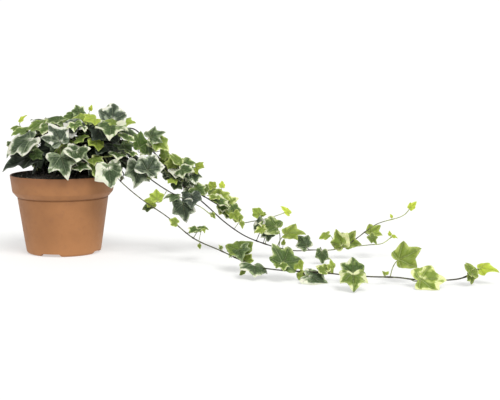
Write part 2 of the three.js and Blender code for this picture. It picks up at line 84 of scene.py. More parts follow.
SOIL = Values(
    below_rim=0.0015,
    fit_gap=0.0003,
    mound=0.004,
    rings=64,
    sides=200,
    lumps=((60, 0.0012), (190, 0.0008), (520, 0.0004)),
    calm_edge=(0.35, 6),  # the share of the lumps' height at the pot's wall, and its growth inwards
    crumbs=900,
    crumb_size=(0.0005, 0.0021),
    crumb_squash=(0.6, 1.1),
    crumb_uneven=0.3,
    crumb_turn=6.28,
    crumb_lift=0.2,
    seed=11,
)

STEM = Values(
    thick=(0.0015, 0.0008),
    ages=(0, 1),
    branch_ages=(0.7, 1),
    step=0.004,
    curve_points=24,
    sides=10,
    branch_share=0.6,
    knot=0.45,
    knot_length=0.0016,
)
STALK = Values(
    radius=0.00055,
    thinnest=0.5,
    full_width=0.02,
    shortest=0.0015,
    neck=0.35,
    sag=0.15,
    ages=(0.76, 0.98),
    steps=10,
    sides=7,
)
RIB = Values(share=0.55, radius=0.0004, end_radius=0.0001, below=(0.5, 0.7))
BUD = Values(length=0.0042, radius=0.0009, foot=0.15, belly=0.7, fullness=0.8, sunk=0.1, steps=9)
LEAF = Values(
    fold=0.16,
    droop=0.14,
    wave=0.04,
    waves=(7, 9),
    quilt=0.035,
    quilt_width=0.09,
    thickness=0.00045,
    rim_thickness=0.00028,
    rim_width=0.125,
    tip_from=0.45,
    resting=0.0013,
    lowest=0.0003,
)

# Each blade's own curl, between these limits, for a blade of one unit.
CURL = {"tip": (-0.1, 0.6), "sides": (-0.1, 0.45), "bend": (-0.1, 0.1), "ruffle": (0.015, 0.05)}
RUFFLES = (4, 8)
LOBES = Values(turn=4, growth=0.1)  # how far chance turns a lobe, in degrees, and lengthens it
# For a leaf wider than the first number, the points from a lobe's tip to its notch, and the rings.
FINENESS = ((0.018, 6, 8), (0.010, 5, 6), (0, 3, 4))
YOUNG_LEAF = Values(tone=0.9, width=0.010, cut=0.3)  # above that tone or below that width it is young
USUAL_LOOKS = ((0.1, 0.7), (-0.6, 0.3))  # cream and cut, where a leaf's row leaves them to chance

# The right half of a leaf's outline as seen from above: the lobes' tips and the notches between them,
# each as (degrees from the midrib, reach from the stalk's end) for a blade of one unit. A lobe of
# sharpness 1 has plain sides, and a higher one draws it out to a point. Most leaves are shields, a
# star is cut deeper, a wedge has hardly any lobes beside its stalk, and a young leaf is narrow.
SHIELD = {
    "tips": ((0, 1.00), (52, 0.82), (107, 0.58)),
    "notches": ((27, 0.75), (81, 0.61), (180, 0.10)),
    "sharpness": 1.2,
}
STAR = {
    "tips": ((0, 1.00), (48, 0.80), (106, 0.56)),
    "notches": ((25, 0.54), (77, 0.42), (180, 0.06)),
    "sharpness": 1.4,
}
WEDGE = {
    "tips": ((0, 1.00), (50, 0.82), (97, 0.38)),
    "notches": ((26, 0.64), (79, 0.42), (180, 0.03)),
    "sharpness": 1.3,
}
YOUNG = {
    "tips": ((0, 1.00), (44, 0.56), (106, 0.30)),
    "notches": ((27, 0.56), (76, 0.36), (180, 0.05)),
    "sharpness": 1.2,
}
LOBE_ANGLES = (0, 55, 112)
NOTCH_ANGLES = (31, 86, 180)

# ---------------------------------------------------------------- driving looks


def colour(red, green, blue):
    """A scene colour from the 0 to 255 of a screen."""
    return (*(((x / 255 + 0.055) / 1.055) ** 2.4 for x in (red, green, blue)), 1)


BARK, UPPER, UNDER = 0, 1, 2  # the material slots of a leafy stem

# A layer of colour is (low, high, share at low, share at high, colour), and lies over those before it:
# its share changes as the value that it follows, such as the height or a noise, goes from low to high.
PLASTIC = Values(
    mottle_scale=24,
    dust_scale=160,
    speck_scale=900,
    mottle=((0.35, (150, 101, 60)), (0.65, (162, 110, 66))),  # each shade, with where it is reached
    dust=(0.5, 0.72, 0, 0.35, (142, 98, 68)),
    # painted light: the pot is lighter towards its foot, as if lit from the floor below
    pale_foot=(0.0, 0.03, 0.5, 0, (184, 128, 80)),
    specks=(0.62, 0.75, 0, 0.25, (136, 88, 52)),
    # painted shade: a darker line in the groove under the band, where shade falls
    crease=(0.0006, 0.002, 0.35, 0, (96, 60, 36)),
    # painted shade: the band darkens towards the rim, as in the shade of the leaves over it
    dark_rim=(0.083, 0.1, 0, 0.55, (112, 68, 42)),
    ragged=0.012,
    roughness=(0.3, 0.7, 0.5, 0.62),
    speck_relief=0.5,
)
EARTH = Values(
    clump_scale=260,
    grain_scale=1400,
    shades=((0.3, (36, 34, 32)), (0.55, (58, 54, 49)), (0.75, (82, 74, 64))),
    fibre=(0.5, 1, 0, 0.4, (70, 56, 44)),
    grit=(0.75, 0.98, 0, 1, (150, 142, 126)),
    grain_relief=0.4,
)
SKIN = Values(
    patch_scale=300,
    grain_scale=1800,
    rings_per_metre=2600,
    uneven=0.5,
    by_age=(
        (0, (28, 23, 20)), (0.6, (38, 32, 26)), (0.78, (66, 62, 40)),
        (0.9, (124, 134, 76)), (1, (168, 180, 92)),
    ),
    streaks=(0.5, 0.75, 0, 0.4, (48, 40, 30)),
    ring_relief=0.1,
)

# What share of a blade its margin and patches take. Tone is 0 for an old leaf and 1 for a new one.
PATTERN = Values(
    margin=0.085,
    margin_by_tone=-0.07,
    uneven=(-0.1, 2.4),
    uneven_noise=(0.38, 0.62),
    uneven_scale=2.6,
    lopsided=4,
    soft_edge=0.075,
    streak=0.36,
    streak_scale=3.0,
    patch=0.14,
    patch_scale=4.5,
    middle_band=(-0.02, 0.15),
    fleck=0.5,
    fleck_scale=4.5,
    # painted shade: how much darker a leaf whose cream is below 0 is made
    shade=0.5,
    margin_by_cream=(1.8, 0.1),
    narrowest=0.1,
    brightness=(0.24, 0.88),
    grain_scale=60,
    rays=3,
    between_leaves=40,
    roughness=(0.3, 0.7, 0.46, 0.6),
    grain_relief=0.35,
)
VEIN = Values(
    width=0.020,
    taper=0.012,
    core=0.3,
    strength=0.6,
    lost_in_cream=0.5,
    shadow=0.45,
    shadow_reach=(0.02, 0.10),
    shadow_colour=colour(200, 200, 200),
    side_slope=0.8,
    sides_per_unit=8,
    side_width=(0.40, 0.48),
    side_end=(0.02, 0.07),
    side_strength=0.35,
    side_relief=0.5,
)
# The colours of a leaf's parts at each of these tones.
TONES = (0, 0.3, 0.55, 0.8, 1)
LEAF_COLOURS = {
    "dark": ((49, 60, 48), (66, 90, 31), (112, 131, 42), (142, 162, 58), (178, 192, 58)),
    "middle": ((134, 144, 124), (128, 147, 79), (156, 169, 80), (170, 183, 86), (194, 206, 82)),
    "margin": ((209, 209, 198), (206, 209, 172), (206, 211, 146), (188, 200, 122), (200, 212, 100)),
    "vein": ((140, 154, 122), (152, 170, 116), (172, 188, 118), (188, 202, 118), (208, 218, 120)),
}
UNDERSIDE = Values(share=0.45, colour=colour(122, 136, 98))

CAMERA = Values(place=(0.234, -1.5, 0.253), target=(0.234, 0, 0.065), lens=86.9, sensor=36)
FLOOR = Values(size=40, colour=colour(176, 176, 174), glow=0.5)  # its own light keeps it near white
SKY = Values(low=1.05, high=0.55, start=0.12, end=0.7)  # its light near the horizon and overhead
SUN = Values(place=(0.45, -0.8, 1.3), power=2.3, softness=30)

# ---------------------------------------------------------------- where the stems and leaves are

# A stem is a route of (x, y, z) points that starts below the soil. thick is its radius and ages the
# age of its bark, there and at its end, where they aren't STEM's; bark is brown at 0 and green at 1.
#
# A leaf is (x, y, z, aim, lean, rise, turn, width, tone): the foot of its blade; the way its tip
# points, seen from the front (0 is right, 90 up); how far the tip leans towards the front; how high its
# upper face looks (90 is straight up) and where to (0 is the front, 90 the right); its blade's length
# from foot to tip, which is about its width between the side lobes' tips; and its tone, from 0 for an
# old dark leaf to 1 for a new lime one. Chance picks what follows where a row leaves it out:
#   cream   how broad its margin is, where 0 has next to none, 1 is broad and less than 0 is darkened by painted shade
#   cut     its outline, from -1 for a wedge over 0 for a shield to 1 for a star
#   side    0 to 1: its own pattern, its brightness, and the side with more cream (0 left, 1 right)
STEMS = {
    "trailer_front": {
        "thick": (0.0006, 0.00085),
        "ages": (0.8, 0.76),
        "route": [
            (0.036, -0.022, 0.084), (0.036, -0.022, 0.104), (0.050, -0.027, 0.112),
            (0.064, -0.032, 0.106), (0.077, -0.038, 0.092), (0.103, -0.050, 0.072),
            (0.135, -0.062, 0.052), (0.166, -0.082, 0.030), (0.201, -0.112, 0.019),
            (0.224, -0.140, 0.013), (0.240, -0.162, 0.010), (0.256, -0.178, 0.010),
            (0.278, -0.190, 0.010), (0.310, -0.203, 0.011), (0.337, -0.214, 0.010),
            (0.363, -0.218, 0.009), (0.394, -0.218, 0.008), (0.413, -0.220, 0.006),
            (0.447, -0.222, 0.006), (0.466, -0.216, 0.008), (0.481, -0.212, 0.016),
        ],
        "leaves": [
            (0.118, -0.048, 0.068, 160, 0, 50, 0, 0.013, 0.85, 0.1, -0.2),
            (0.114, -0.042, 0.064, -160, -10, 55, -20, 0.014, 0.2, 0.3, -0.3),
            (0.146, -0.070, 0.046, 145, 5, 35, 20, 0.010, 0.6),
            (0.171, -0.084, 0.041, -165, 50, 60, -20, 0.014, 0.3, 0.3, 0.2),
            (0.171, -0.070, 0.039, 15, 25, 65, 20, 0.014, 0.35),
            (0.201, -0.112, 0.022, 125, -10, 35, -20, 0.006, 0.4),
            (0.223, -0.140, 0.023, 105, -55, 35, 0, 0.023, 0.42, 0, 0),
            (0.221, -0.138, 0.025, -70, 70, 45, -20, 0.023, 0.2, 0.1, 0.6),
            (0.229, -0.139, 0.012, 55, -5, 35, 20, 0.011, 0.55, 0.6, 0.2),
            (0.214, -0.132, 0.022, -110, 45, 35, -20, 0.008, 0.2),
            (0.238, -0.174, 0.013, -50, 75, 35, 20, 0.025, 0.15, 0.35, 0),
            (0.227, -0.165, 0.006, -125, 15, 35, -20, 0.009, 0.5),
            (0.270, -0.193, 0.019, 60, -45, 35, 20, 0.030, 0.3, 0.15, 0.7),
            (0.287, -0.192, 0.018, -40, 60, 35, -20, 0.010, 0.7, 0.3, 0),
            (0.267, -0.200, 0.019, -25, 65, 50, 20, 0.013, 0.4),
            (0.293, -0.199, 0.008, -115, -15, 40, -20, 0.015, 0.8, 0.9, -0.5),
            (0.297, -0.206, 0.007, -15, 20, 58, 0, 0.025, 0.12, 0.6, -0.3, 0.9),
            (0.317, -0.207, 0.013, 150, -15, 60, 0, 0.013, 0.5, 1, -0.3),
            (0.322, -0.200, 0.012, 80, 0, 30, 62, 0.014, 0.75, 0.6, -0.5),
            (0.346, -0.209, 0.010, 90, -30, 35, 10, 0.021, 0.3, 0.6, -0.3, 0.2),
            (0.343, -0.243, 0.016, -90, 65, 45, 0, 0.026, 0.42, 0.9, 0.45),
            (0.381, -0.215, 0.011, 45, -40, 35, -20, 0.006, 0.8),
            (0.395, -0.210, 0.026, 25, -5, 35, 5, 0.029, 0.6, 0.1, -1),
            (0.415, -0.238, 0.009, 10, 0, 45, 0, 0.028, 0.52, 1.4, -0.2),
            (0.472, -0.228, 0.013, 100, -40, 30, 45, 0.018, 0.5, 0.15, -0.6),
            (0.483, -0.207, 0.016, 5, 35, 55, -20, 0.023, 0.95, 0.1, 0.3),
            (0.179, -0.091, 0.042, -55, 45, 40, 10, 0.006, 0.6),
            (0.174, -0.094, 0.024, -75, 10, 40, -10, 0.006, 0.5),
            (0.379, -0.221, 0.012, 125, 35, 40, -10, 0.006, 0.6),
            (0.471, -0.226, 0.015, -80, 0, 35, 35, 0.014, 0.5, 0.2, -0.5, 0.5),
        ],
    },
    "trailer_long": {
        "thick": (0.0011, 0.0005),
        "route": [
            (0.022, -0.003, 0.084), (0.022, -0.003, 0.106), (0.042, -0.004, 0.130),
            (0.072, -0.004, 0.140), (0.098, -0.002, 0.131), (0.131, -0.002, 0.103),
            (0.152, -0.006, 0.083), (0.181, -0.014, 0.059), (0.203, -0.028, 0.041),
            (0.228, -0.042, 0.026), (0.253, -0.055, 0.018), (0.270, -0.060, 0.014),
            (0.290, -0.062, 0.011), (0.308, -0.062, 0.012), (0.332, -0.062, 0.012),
            (0.348, -0.060, 0.015), (0.365, -0.057, 0.016), (0.380, -0.054, 0.017),
            (0.395, -0.050, 0.018), (0.406, -0.047, 0.025),
        ],
        "branch": [
            (0.348, -0.060, 0.015), (0.366, -0.054, 0.027), (0.376, -0.050, 0.034),
            (0.390, -0.046, 0.042), (0.418, -0.038, 0.049), (0.425, -0.036, 0.053),
            (0.429, -0.035, 0.058),
        ],
        "leaves": [
            (0.138, -0.006, 0.108, 110, -25, 35, 20, 0.014, 0.7),
            (0.140, -0.022, 0.093, -160, 55, 35, -20, 0.012, 0.8),
            (0.161, -0.006, 0.098, -50, 50, 35, 20, 0.017, 0.1),
            (0.166, -0.014, 0.082, -30, 20, 50, -20, 0.017, 0.3, 0.4, 0.3),
            (0.162, -0.028, 0.075, -80, 50, 35, 0, 0.019, 0, -0.25, 0),
            (0.152, -0.034, 0.065, -85, 0, 35, 0, 0.025, 0.05, 0.2, 0.6),
            (0.224, -0.032, 0.042, -85, 15, 35, 20, 0.009, 0.6),
            (0.266, -0.056, 0.038, 160, 0, 50, -10, 0.023, 0.35, 0.6, -0.3, 0.1),
            (0.251, -0.062, 0.039, -155, 5, 65, 10, 0.014, 0.6, 0.8, -0.8),
            (0.247, -0.050, 0.046, -125, 0, 35, -50, 0.017, 0.1, 1.2, -0.3),
            (0.256, -0.056, 0.035, -85, 15, 35, 10, 0.014, 0.08, 0.2, -0.4),
            (0.277, -0.066, 0.032, 10, 5, 60, 10, 0.024, 0.65, 0.1, -0.8),
            (0.302, -0.060, 0.016, 130, -10, 35, 10, 0.017, 0.15, 0.3, -0.4),
            (0.319, -0.090, 0.015, -90, 20, 35, 35, 0.016, 0.2, 0.3, -0.5),
            (0.328, -0.058, 0.030, -160, 0, 65, 20, 0.012, 0.65),
            (0.346, -0.062, 0.017, 120, 0, 30, -40, 0.022, 0.5, 0.9, -0.6, 0.9),
            (0.349, -0.057, 0.017, 55, -15, 35, -10, 0.023, 0.52, 0.3, -1),
            (0.380, -0.045, 0.030, 35, -20, 35, -10, 0.018, 0.68, 0.2, -1),
            (0.380, -0.056, 0.027, -45, 15, 60, 0, 0.012, 0.45, 0.1, 0.5),
            (0.405, -0.043, 0.027, 95, -15, 35, -20, 0.006, 1),
            (0.428, -0.049, 0.061, 45, -5, 45, 20, 0.012, 1),
            (0.407, -0.050, 0.027, -10, 10, 50, 10, 0.007, 0.9),
            (0.407, -0.043, 0.049, 110, 0, 40, 10, 0.005, 1),
            (0.274, -0.063, 0.019, 85, 0, 35, 10, 0.007, 0.7),
            (0.157, -0.010, 0.080, -45, 5, 50, 10, 0.014, 0.1),
            (0.141, -0.010, 0.087, -35, 25, 40, 10, 0.012, 0.1, 0.2, 0.1, 0.3),
            (0.155, -0.013, 0.078, -10, 50, 40, 10, 0.012, 0.1, 0.1, 0.1, 0.3),
        ],
    },
    "trailer_upper": {
        "thick": (0.0013, 0.00045),
        "route": [
            (0.009, 0.015, 0.084), (0.009, 0.015, 0.106), (0.032, 0.015, 0.138), (0.066, 0.015, 0.146),
            (0.096, 0.014, 0.139), (0.127, 0.012, 0.109), (0.151, 0.010, 0.088), (0.166, 0.008, 0.075),
            (0.193, 0.004, 0.059), (0.215, 0.000, 0.043), (0.226, -0.004, 0.037),
            (0.236, -0.008, 0.039), (0.251, -0.010, 0.042), (0.266, -0.008, 0.046),
            (0.278, -0.006, 0.050),
        ],
        "leaves": [
            (0.159, 0.002, 0.096, -30, 50, 45, 0, 0.017, 0.15),
            (0.187, 0.008, 0.080, 115, -30, 35, -20, 0.010, 0.85),
            (0.187, 0.027, 0.070, 100, -40, 35, 20, 0.012, 0.4),
            (0.191, -0.009, 0.071, -170, 60, 35, -20, 0.014, 0.5),
            (0.199, 0.003, 0.081, 90, -35, 35, 20, 0.010, 1),
            (0.193, 0.006, 0.068, 20, -30, 35, -20, 0.020, 0.72, 0.6, 0.3),
            (0.193, -0.008, 0.067, -30, 15, 75, 20, 0.021, 0.3, 0.6, 0.4),
            (0.204, 0.007, 0.059, 30, -10, 35, -20, 0.018, 0.5, 0.9, 0.3),
            (0.213, -0.004, 0.051, 65, -30, 35, 20, 0.014, 0.3, 0.2, 0.4),
            (0.214, -0.014, 0.050, -65, 45, 35, -20, 0.012, 0.7, 0.3, 0.3),
            (0.246, -0.018, 0.049, 135, 0, 45, 0, 0.012, 0.68, -0.05, 0),
            (0.249, -0.015, 0.047, 55, -45, 35, -20, 0.009, 0.75, -0.05, -0.4),
            (0.283, -0.006, 0.049, 135, 0, 50, 20, 0.014, 1),
            (0.141, 0.002, 0.101, -175, 5, 40, 20, 0.014, 0.1),
            (0.141, 0.003, 0.097, -45, 5, 40, 20, 0.014, 0.4),
            (0.146, 0.003, 0.102, -40, 10, 35, 0, 0.014, 0.15),
            (0.154, 0.006, 0.086, -60, 10, 45, 10, 0.013, 0.1),
            (0.136, 0.005, 0.086, 30, 0, 50, 10, 0.010, 0.5),
            (0.131, 0.006, 0.106, -35, 5, 50, 10, 0.012, 0.3),
            (0.175, 0.001, 0.076, 135, 0, 40, 10, 0.011, 0.3),
            (0.131, 0.005, 0.101, -125, 15, 45, 10, 0.011, 0.05, 0.2, 0.2, 0.3),
            (0.136, 0.004, 0.103, -30, 10, 45, 0, 0.012, 0.1, 0.3, 0.2, 0.3),
            (0.139, 0.002, 0.096, -30, 5, 45, 0, 0.011, 0.45, 0.2, 0.1, 0.6),
            (0.129, 0.006, 0.096, -50, 10, 40, 10, 0.010, 0.05, 0.1, 0.1, 0.3),
            (0.146, 0.002, 0.101, -50, 10, 45, 0, 0.013, 0.2, 0.8, 0.1, 0.2),
            (0.141, 0.003, 0.109, -10, 0, 50, 10, 0.010, 0.5, 0.2, 0.1, 0.3),
            (0.151, 0.004, 0.088, -40, 0, 40, 10, 0.011, 0.1, 0.2, 0.1, 0.3),
            (0.124, 0.007, 0.106, -40, 5, 40, 10, 0.010, 0.1, 0.3, 0.1, 0.3),
            (0.176, 0.001, 0.081, -75, 10, 40, 10, 0.011, 0.4, 0.3, 0.1, 0.3),
            (0.199, -0.003, 0.059, -30, 15, 40, 10, 0.012, 0.3, 0.7, 0.1, 0.3),
            (0.209, -0.004, 0.053, -45, 0, 40, 10, 0.012, 0.5, 0.5, 0.1, 0.3),
            (0.125, 0.004, 0.116, -35, 20, 50, 10, 0.012, 0.5, 0.2, 0.1, 0.3),
            (0.134, 0.003, 0.112, -25, 20, 50, 10, 0.012, 0.6, 0.2, 0.1, 0.3),
            (0.130, 0.003, 0.106, -35, 5, 45, 10, 0.011, 0.4, 0.5, 0.1, 0.3),
            (0.144, 0.002, 0.096, -50, 5, 45, 10, 0.010, 0.4, 0.3, 0.1, 0.3),
            (0.208, 0.008, 0.051, -50, 30, 40, 0, 0.016, 0.35, 0.7, 0.2, 0.3),
            (0.217, 0.008, 0.044, -50, 10, 40, 20, 0.012, 0.6, 0.5, 0, 0.6),
            (0.200, 0.010, 0.056, -65, 10, 45, -20, 0.014, 0.5, 0.8, 0.2, 0.6),
        ],
    },
    "shoot_right": {
        "thick": (0.0012, 0.0005),
        "route": [
            (0.038, 0.010, 0.084), (0.038, 0.010, 0.106), (0.058, 0.028, 0.142), (0.084, 0.028, 0.153),
            (0.108, 0.016, 0.135), (0.129, 0.008, 0.125), (0.144, 0.004, 0.114), (0.157, 0.002, 0.106),
            (0.167, 0.000, 0.106),
        ],
        "leaves": [
            (0.098, -0.022, 0.133, 80, -20, 30, 65, 0.022, 0.3, -0.2, 0.3),
            (0.080, -0.002, 0.152, -30, 40, 45, 50, 0.022, 0.15, 0.2, 0.3),
            (0.106, -0.007, 0.134, -110, 55, 40, 75, 0.020, 0.2, 0.5, 0.3),
            (0.110, -0.008, 0.144, 25, 0, 40, 15, 0.021, 0.15, 0.2, 0.65),
            (0.117, -0.006, 0.139, -25, 25, 45, 10, 0.022, 0.48, 0.35, 0.3),
            (0.115, -0.019, 0.133, 110, 35, 55, 55, 0.014, 0.3, 0.8, 0.3),
            (0.145, -0.016, 0.113, 110, -35, 30, 55, 0.018, 0.45, 0.35, 0.3),
            (0.145, 0.014, 0.113, 5, 25, 65, 55, 0.018, 0.5, 0.3, 0.2),
            (0.149, -0.021, 0.106, -5, 35, 45, 10, 0.020, 0.2, 0.5, 0.3),
            (0.145, -0.012, 0.104, -35, 40, 60, 20, 0.022, 0.1, 0.75, 0.3),
            (0.167, -0.006, 0.107, 10, 50, 35, 0, 0.015, 0.85, 0.1, 0.2),
            (0.152, -0.004, 0.113, -35, 40, 45, 20, 0.019, 0.3, 0.3, 0.3),
            (0.152, -0.004, 0.101, 80, 0, 40, -10, 0.013, 0.45),
            (0.129, 0.001, 0.119, 120, 0, 50, 10, 0.012, 0.5),
        ],
    },
    "trailer_short": {
        "thick": (0.0012, 0.0005),
        "route": [
            (0.036, -0.009, 0.084), (0.036, -0.009, 0.106), (0.060, -0.014, 0.120),
            (0.088, -0.020, 0.113), (0.112, -0.026, 0.094), (0.133, -0.028, 0.080),
            (0.155, -0.030, 0.069), (0.174, -0.032, 0.060), (0.186, -0.034, 0.051),
        ],
        "leaves": [
            (0.097, -0.028, 0.111, -90, 25, 30, 45, 0.029, 0.05, 0.2, -0.3),
            (0.109, -0.040, 0.106, 65, -25, 35, 5, 0.025, 0.05, 0.5, 0, 0.65),
            (0.122, -0.060, 0.073, 90, 0, 35, 0, 0.013, 0.8, 0.1, -0.2),
            (0.146, -0.034, 0.074, 175, 5, 75, 0, 0.018, 0.15, 0.2, -0.6),
            (0.114, -0.034, 0.100, -10, 55, 35, 0, 0.012, 0.4, 0.4, 0.4),
            (0.187, -0.029, 0.052, -55, 10, 35, -20, 0.008, 0.5),
        ],
    },
    "shoot_left": {
        "route": [
            (-0.022, -0.012, 0.084), (-0.022, -0.012, 0.106), (-0.032, -0.013, 0.124),
            (-0.040, -0.008, 0.138), (-0.046, 0.000, 0.148),
        ],
        "leaves": [
            (-0.037, -0.020, 0.136, -20, 45, 45, -20, 0.018, 0.2, 0.5, 0.2),
            (-0.034, -0.028, 0.119, -170, 30, 62, -20, 0.037, 0, -0.3, 0.5),
            (-0.032, -0.038, 0.144, -155, 15, 62, -20, 0.036, 0.08, 0.45, 0.15, 0.3),
            (-0.053, 0.006, 0.163, 50, 0, 50, -30, 0.012, 1, 0, 0),
            (-0.032, 0.018, 0.158, 150, -35, 65, -35, 0.014, 0.4, 0.2, 0.3),
            (-0.022, -0.012, 0.160, -170, 0, 70, -10, 0.023, 0.36, 0.15, 0.2),
            (-0.042, -0.010, 0.152, -175, 20, 60, -40, 0.020, 0.35, 0.1, 0.2),
            (-0.055, 0.004, 0.155, 175, 0, 60, -30, 0.010, 0.42, 0.2, 0.1),
            (-0.064, -0.003, 0.134, 140, -30, 40, -55, 0.009, 0.2),
            (-0.028, -0.038, 0.127, -30, 30, 50, -15, 0.014, 0.22, -0.3, 0.3),
            (-0.014, -0.026, 0.160, -115, 55, 45, -25, 0.018, 0.3, 0.9, 0.2),
        ],
    },
    "shoot_front_left": {
        "route": [
            (-0.006, -0.026, 0.084), (-0.006, -0.026, 0.106), (-0.004, -0.034, 0.120),
            (0.000, -0.044, 0.130), (0.008, -0.050, 0.138),
        ],
        "leaves": [
            (0.001, -0.020, 0.137, -120, 55, 30, 5, 0.022, 0.1, -0.3, 0.2),
            (-0.010, -0.020, 0.131, 140, -35, 35, 0, 0.023, 0, -0.5, 0.2),
            (0.007, -0.056, 0.142, 115, 0, 35, 0, 0.027, 0.03, 0.52, -0.9),
            (0.005, -0.033, 0.135, -15, 55, 40, -35, 0.022, 0.4, 0, 0.2),
            (0.008, -0.062, 0.125, -64, 30, 30, 5, 0.030, 0.1, 0.4, 0.6, 0.4),
            (0.019, -0.060, 0.132, -25, 0, 68, 10, 0.029, 0.12, 0.5, -0.5),
            (0.029, -0.063, 0.129, 30, 25, 45, 0, 0.017, 0.15, 0.45, 0.05),
            (0.028, -0.059, 0.113, -5, 20, 60, 20, 0.018, 0.2, 0.5, 0.3),
        ],
    },
    "shoot_top": {
        "route": [
            (0.004, -0.009, 0.084), (0.004, -0.009, 0.106), (0.008, -0.014, 0.132),
            (0.014, -0.020, 0.150), (0.022, -0.020, 0.164), (0.034, -0.012, 0.172),
        ],
        "leaves": [
            (0.010, -0.028, 0.157, -50, 50, 45, -10, 0.020, 0.1, 0.6, 0.2),
            (0.034, -0.006, 0.164, -20, -45, 60, 5, 0.019, 0.35, 0.1, 0.2),
            (0.024, -0.042, 0.157, 145, -30, 40, -5, 0.023, 0, 0.75, 0.25),
            (0.000, -0.018, 0.166, 165, -30, 70, 5, 0.019, 0.25, 0.1, 0.2),
            (0.024, -0.014, 0.174, 110, -20, 40, 0, 0.014, 0.2, 0.25, 0.6),
            (0.017, -0.010, 0.170, 145, -40, 50, 15, 0.015, 0.3, 0.3, 0.3),
            (0.024, -0.028, 0.167, 35, -20, 60, -5, 0.016, 0.62, 0.6, 0.2),
            (0.037, -0.010, 0.178, 70, 0, 40, 25, 0.007, 1, 0, 0),
            (0.023, -0.046, 0.164, -80, 60, 50, -10, 0.014, 0.3, 0.8, 0.2),
            (0.026, -0.043, 0.145, 20, 10, 60, 40, 0.015, 0.4, 0, 0.2),
        ],
    },
    "shoot_top_right": {
        "route": [
            (0.022, -0.030, 0.084), (0.022, -0.030, 0.106), (0.034, -0.032, 0.130),
            (0.046, -0.034, 0.146), (0.058, -0.030, 0.156), (0.068, -0.024, 0.160),
        ],
        "leaves": [
            (0.061, -0.026, 0.149, -35, 50, 40, 20, 0.023, 0, -0.6, 0.2),
            (0.052, -0.038, 0.154, -125, 60, 40, 35, 0.020, 0, -0.6, 0.2),
            (0.046, -0.035, 0.169, -175, 45, 55, 10, 0.017, 0.85, 0.05, 0.15),
            (0.066, -0.020, 0.166, 95, -35, 55, 20, 0.027, 0.03, 0.56, 0, 0.5),
            (0.076, -0.016, 0.162, 10, 20, 50, 30, 0.020, 0.8, 0.15, 0.4),
            (0.074, -0.038, 0.163, 165, 10, 70, 45, 0.020, 0.45, 0.1, 0.2),
            (0.068, -0.044, 0.162, -105, 70, 65, 0, 0.031, 0.2, 0.9, 0.25, 0.4),
            (0.047, -0.041, 0.142, -55, 50, 20, 35, 0.018, 0.72, 0, 0.1),
            (0.035, -0.050, 0.160, -75, 50, 45, 0, 0.009, 0.2, 0.8, 0.3),
            (0.088, -0.057, 0.145, 135, -45, 50, 55, 0.018, 0.3, 0.4, 0.3),
        ],
    },
    "shoot_front_right": {
        "route": [
            (0.010, -0.042, 0.084), (0.010, -0.042, 0.103), (0.024, -0.048, 0.114),
            (0.040, -0.050, 0.120), (0.056, -0.048, 0.123), (0.070, -0.044, 0.125),
        ],
        "leaves": [
            (0.079, -0.038, 0.137, -25, 40, 45, 30, 0.019, 0.2, -0.3, 0.3),
            (0.046, -0.056, 0.109, 30, -30, 40, 30, 0.018, 0.4, 0.1, 0.3),
            (0.045, -0.052, 0.122, -10, 30, 55, 10, 0.016, 0.5, 0.7, 0.3),
            (0.064, -0.060, 0.113, -80, 0, 35, 10, 0.027, 0.1, 0.75, -0.2, 0.9),
            (0.074, -0.050, 0.128, -45, 75, 60, 25, 0.018, 0.2, 0.6, 0.1),
            (0.089, -0.044, 0.129, -30, 65, 60, 55, 0.014, 0.3, 0.5, 0.2),
            (0.057, -0.036, 0.137, -130, 65, 50, 15, 0.022, 0, -0.5, 0.2),
        ],
    },
}

# The far side of the crown: shoots that lean outwards, each with the leaves of its own sector of a
# dome. Angles go round from the right (0) over the back (90) to the left (180).
DOME = Values(centre=(0.014, 0.006, 0.096), radii=(0.068, 0.060, 0.064))
BACK = Values(
    seed=225,
    sectors=(46, 86, 126, 166),
    root_radius=0.036,
    root_height=0.084,
    straight_to=0.106,
    bends=((48, 0.55), (34, 0.72)),
    outward=0.6,
    light_gap=Values(left_of=-0.038, tips_above=0.113),
    vary=Values(angle=4, rise=8, swing=50, width=0.3),
    newest=(0.5, 0.6),  # the tone of the newest leaf, in rows and in small_rows
    rarity=1.5,  # above 1, there are fewer new leaves than old ones
    ages=(0.2, 0.7),
    # Rows of leaves: how high on the dome, how many, degrees apart, how deep in it, and their width.
    rows=(
        (16, 2, 18, 1, 0.027),
        (38, 2, 17, 1, 0.030),
        (62, 1, 0, 1, 0.032),
        (32, 1, 0, 0.78, 0.026),
        (54, 1, 0, 0.8, 0.028),
    ),
    small_rows=(
        (4, 2, 20, 0.95, 0.018),
        (27, 3, 14, 1, 0.019),
        (50, 3, 16, 1, 0.020),
        (72, 2, 30, 1, 0.018),
    ),
)

# The inside of the crown: older leaves between its shoots, darkened by painted shade.
FILL = Values(
    seed=31,
    count=320,
    centre=(0.030, 0.008, 0.112),
    radii=(0.062, 0.042, 0.040),
    spread=0.4,
    lowest=0.108,
    leftmost=-0.032,
    width=(0.016, 0.028),
    tone=0.1,
    # below 0, so that painted shade darkens these leaves
    cream=(-1, -0.4),
)

# ---------------------------------------------------------------- curves and chance


def seeded_random(seed):
    """The same stream of numbers from 0 to 1 as the solids' own placing of the back shoots."""
    mask = 0xFFFFFFFF
    state = seed

    def draw():
        nonlocal state
        state = (state + 0x6D2B79F5) & mask
        mixed = ((state ^ (state >> 15)) * (1 | state)) & mask
        mixed = (mixed + ((mixed ^ (mixed >> 7)) * (61 | mixed) & mask)) & mask ^ mixed
        return (mixed ^ (mixed >> 14)) / (mask + 1)

    return draw


def unit(vector):
    return vector / np.linalg.norm(vector)


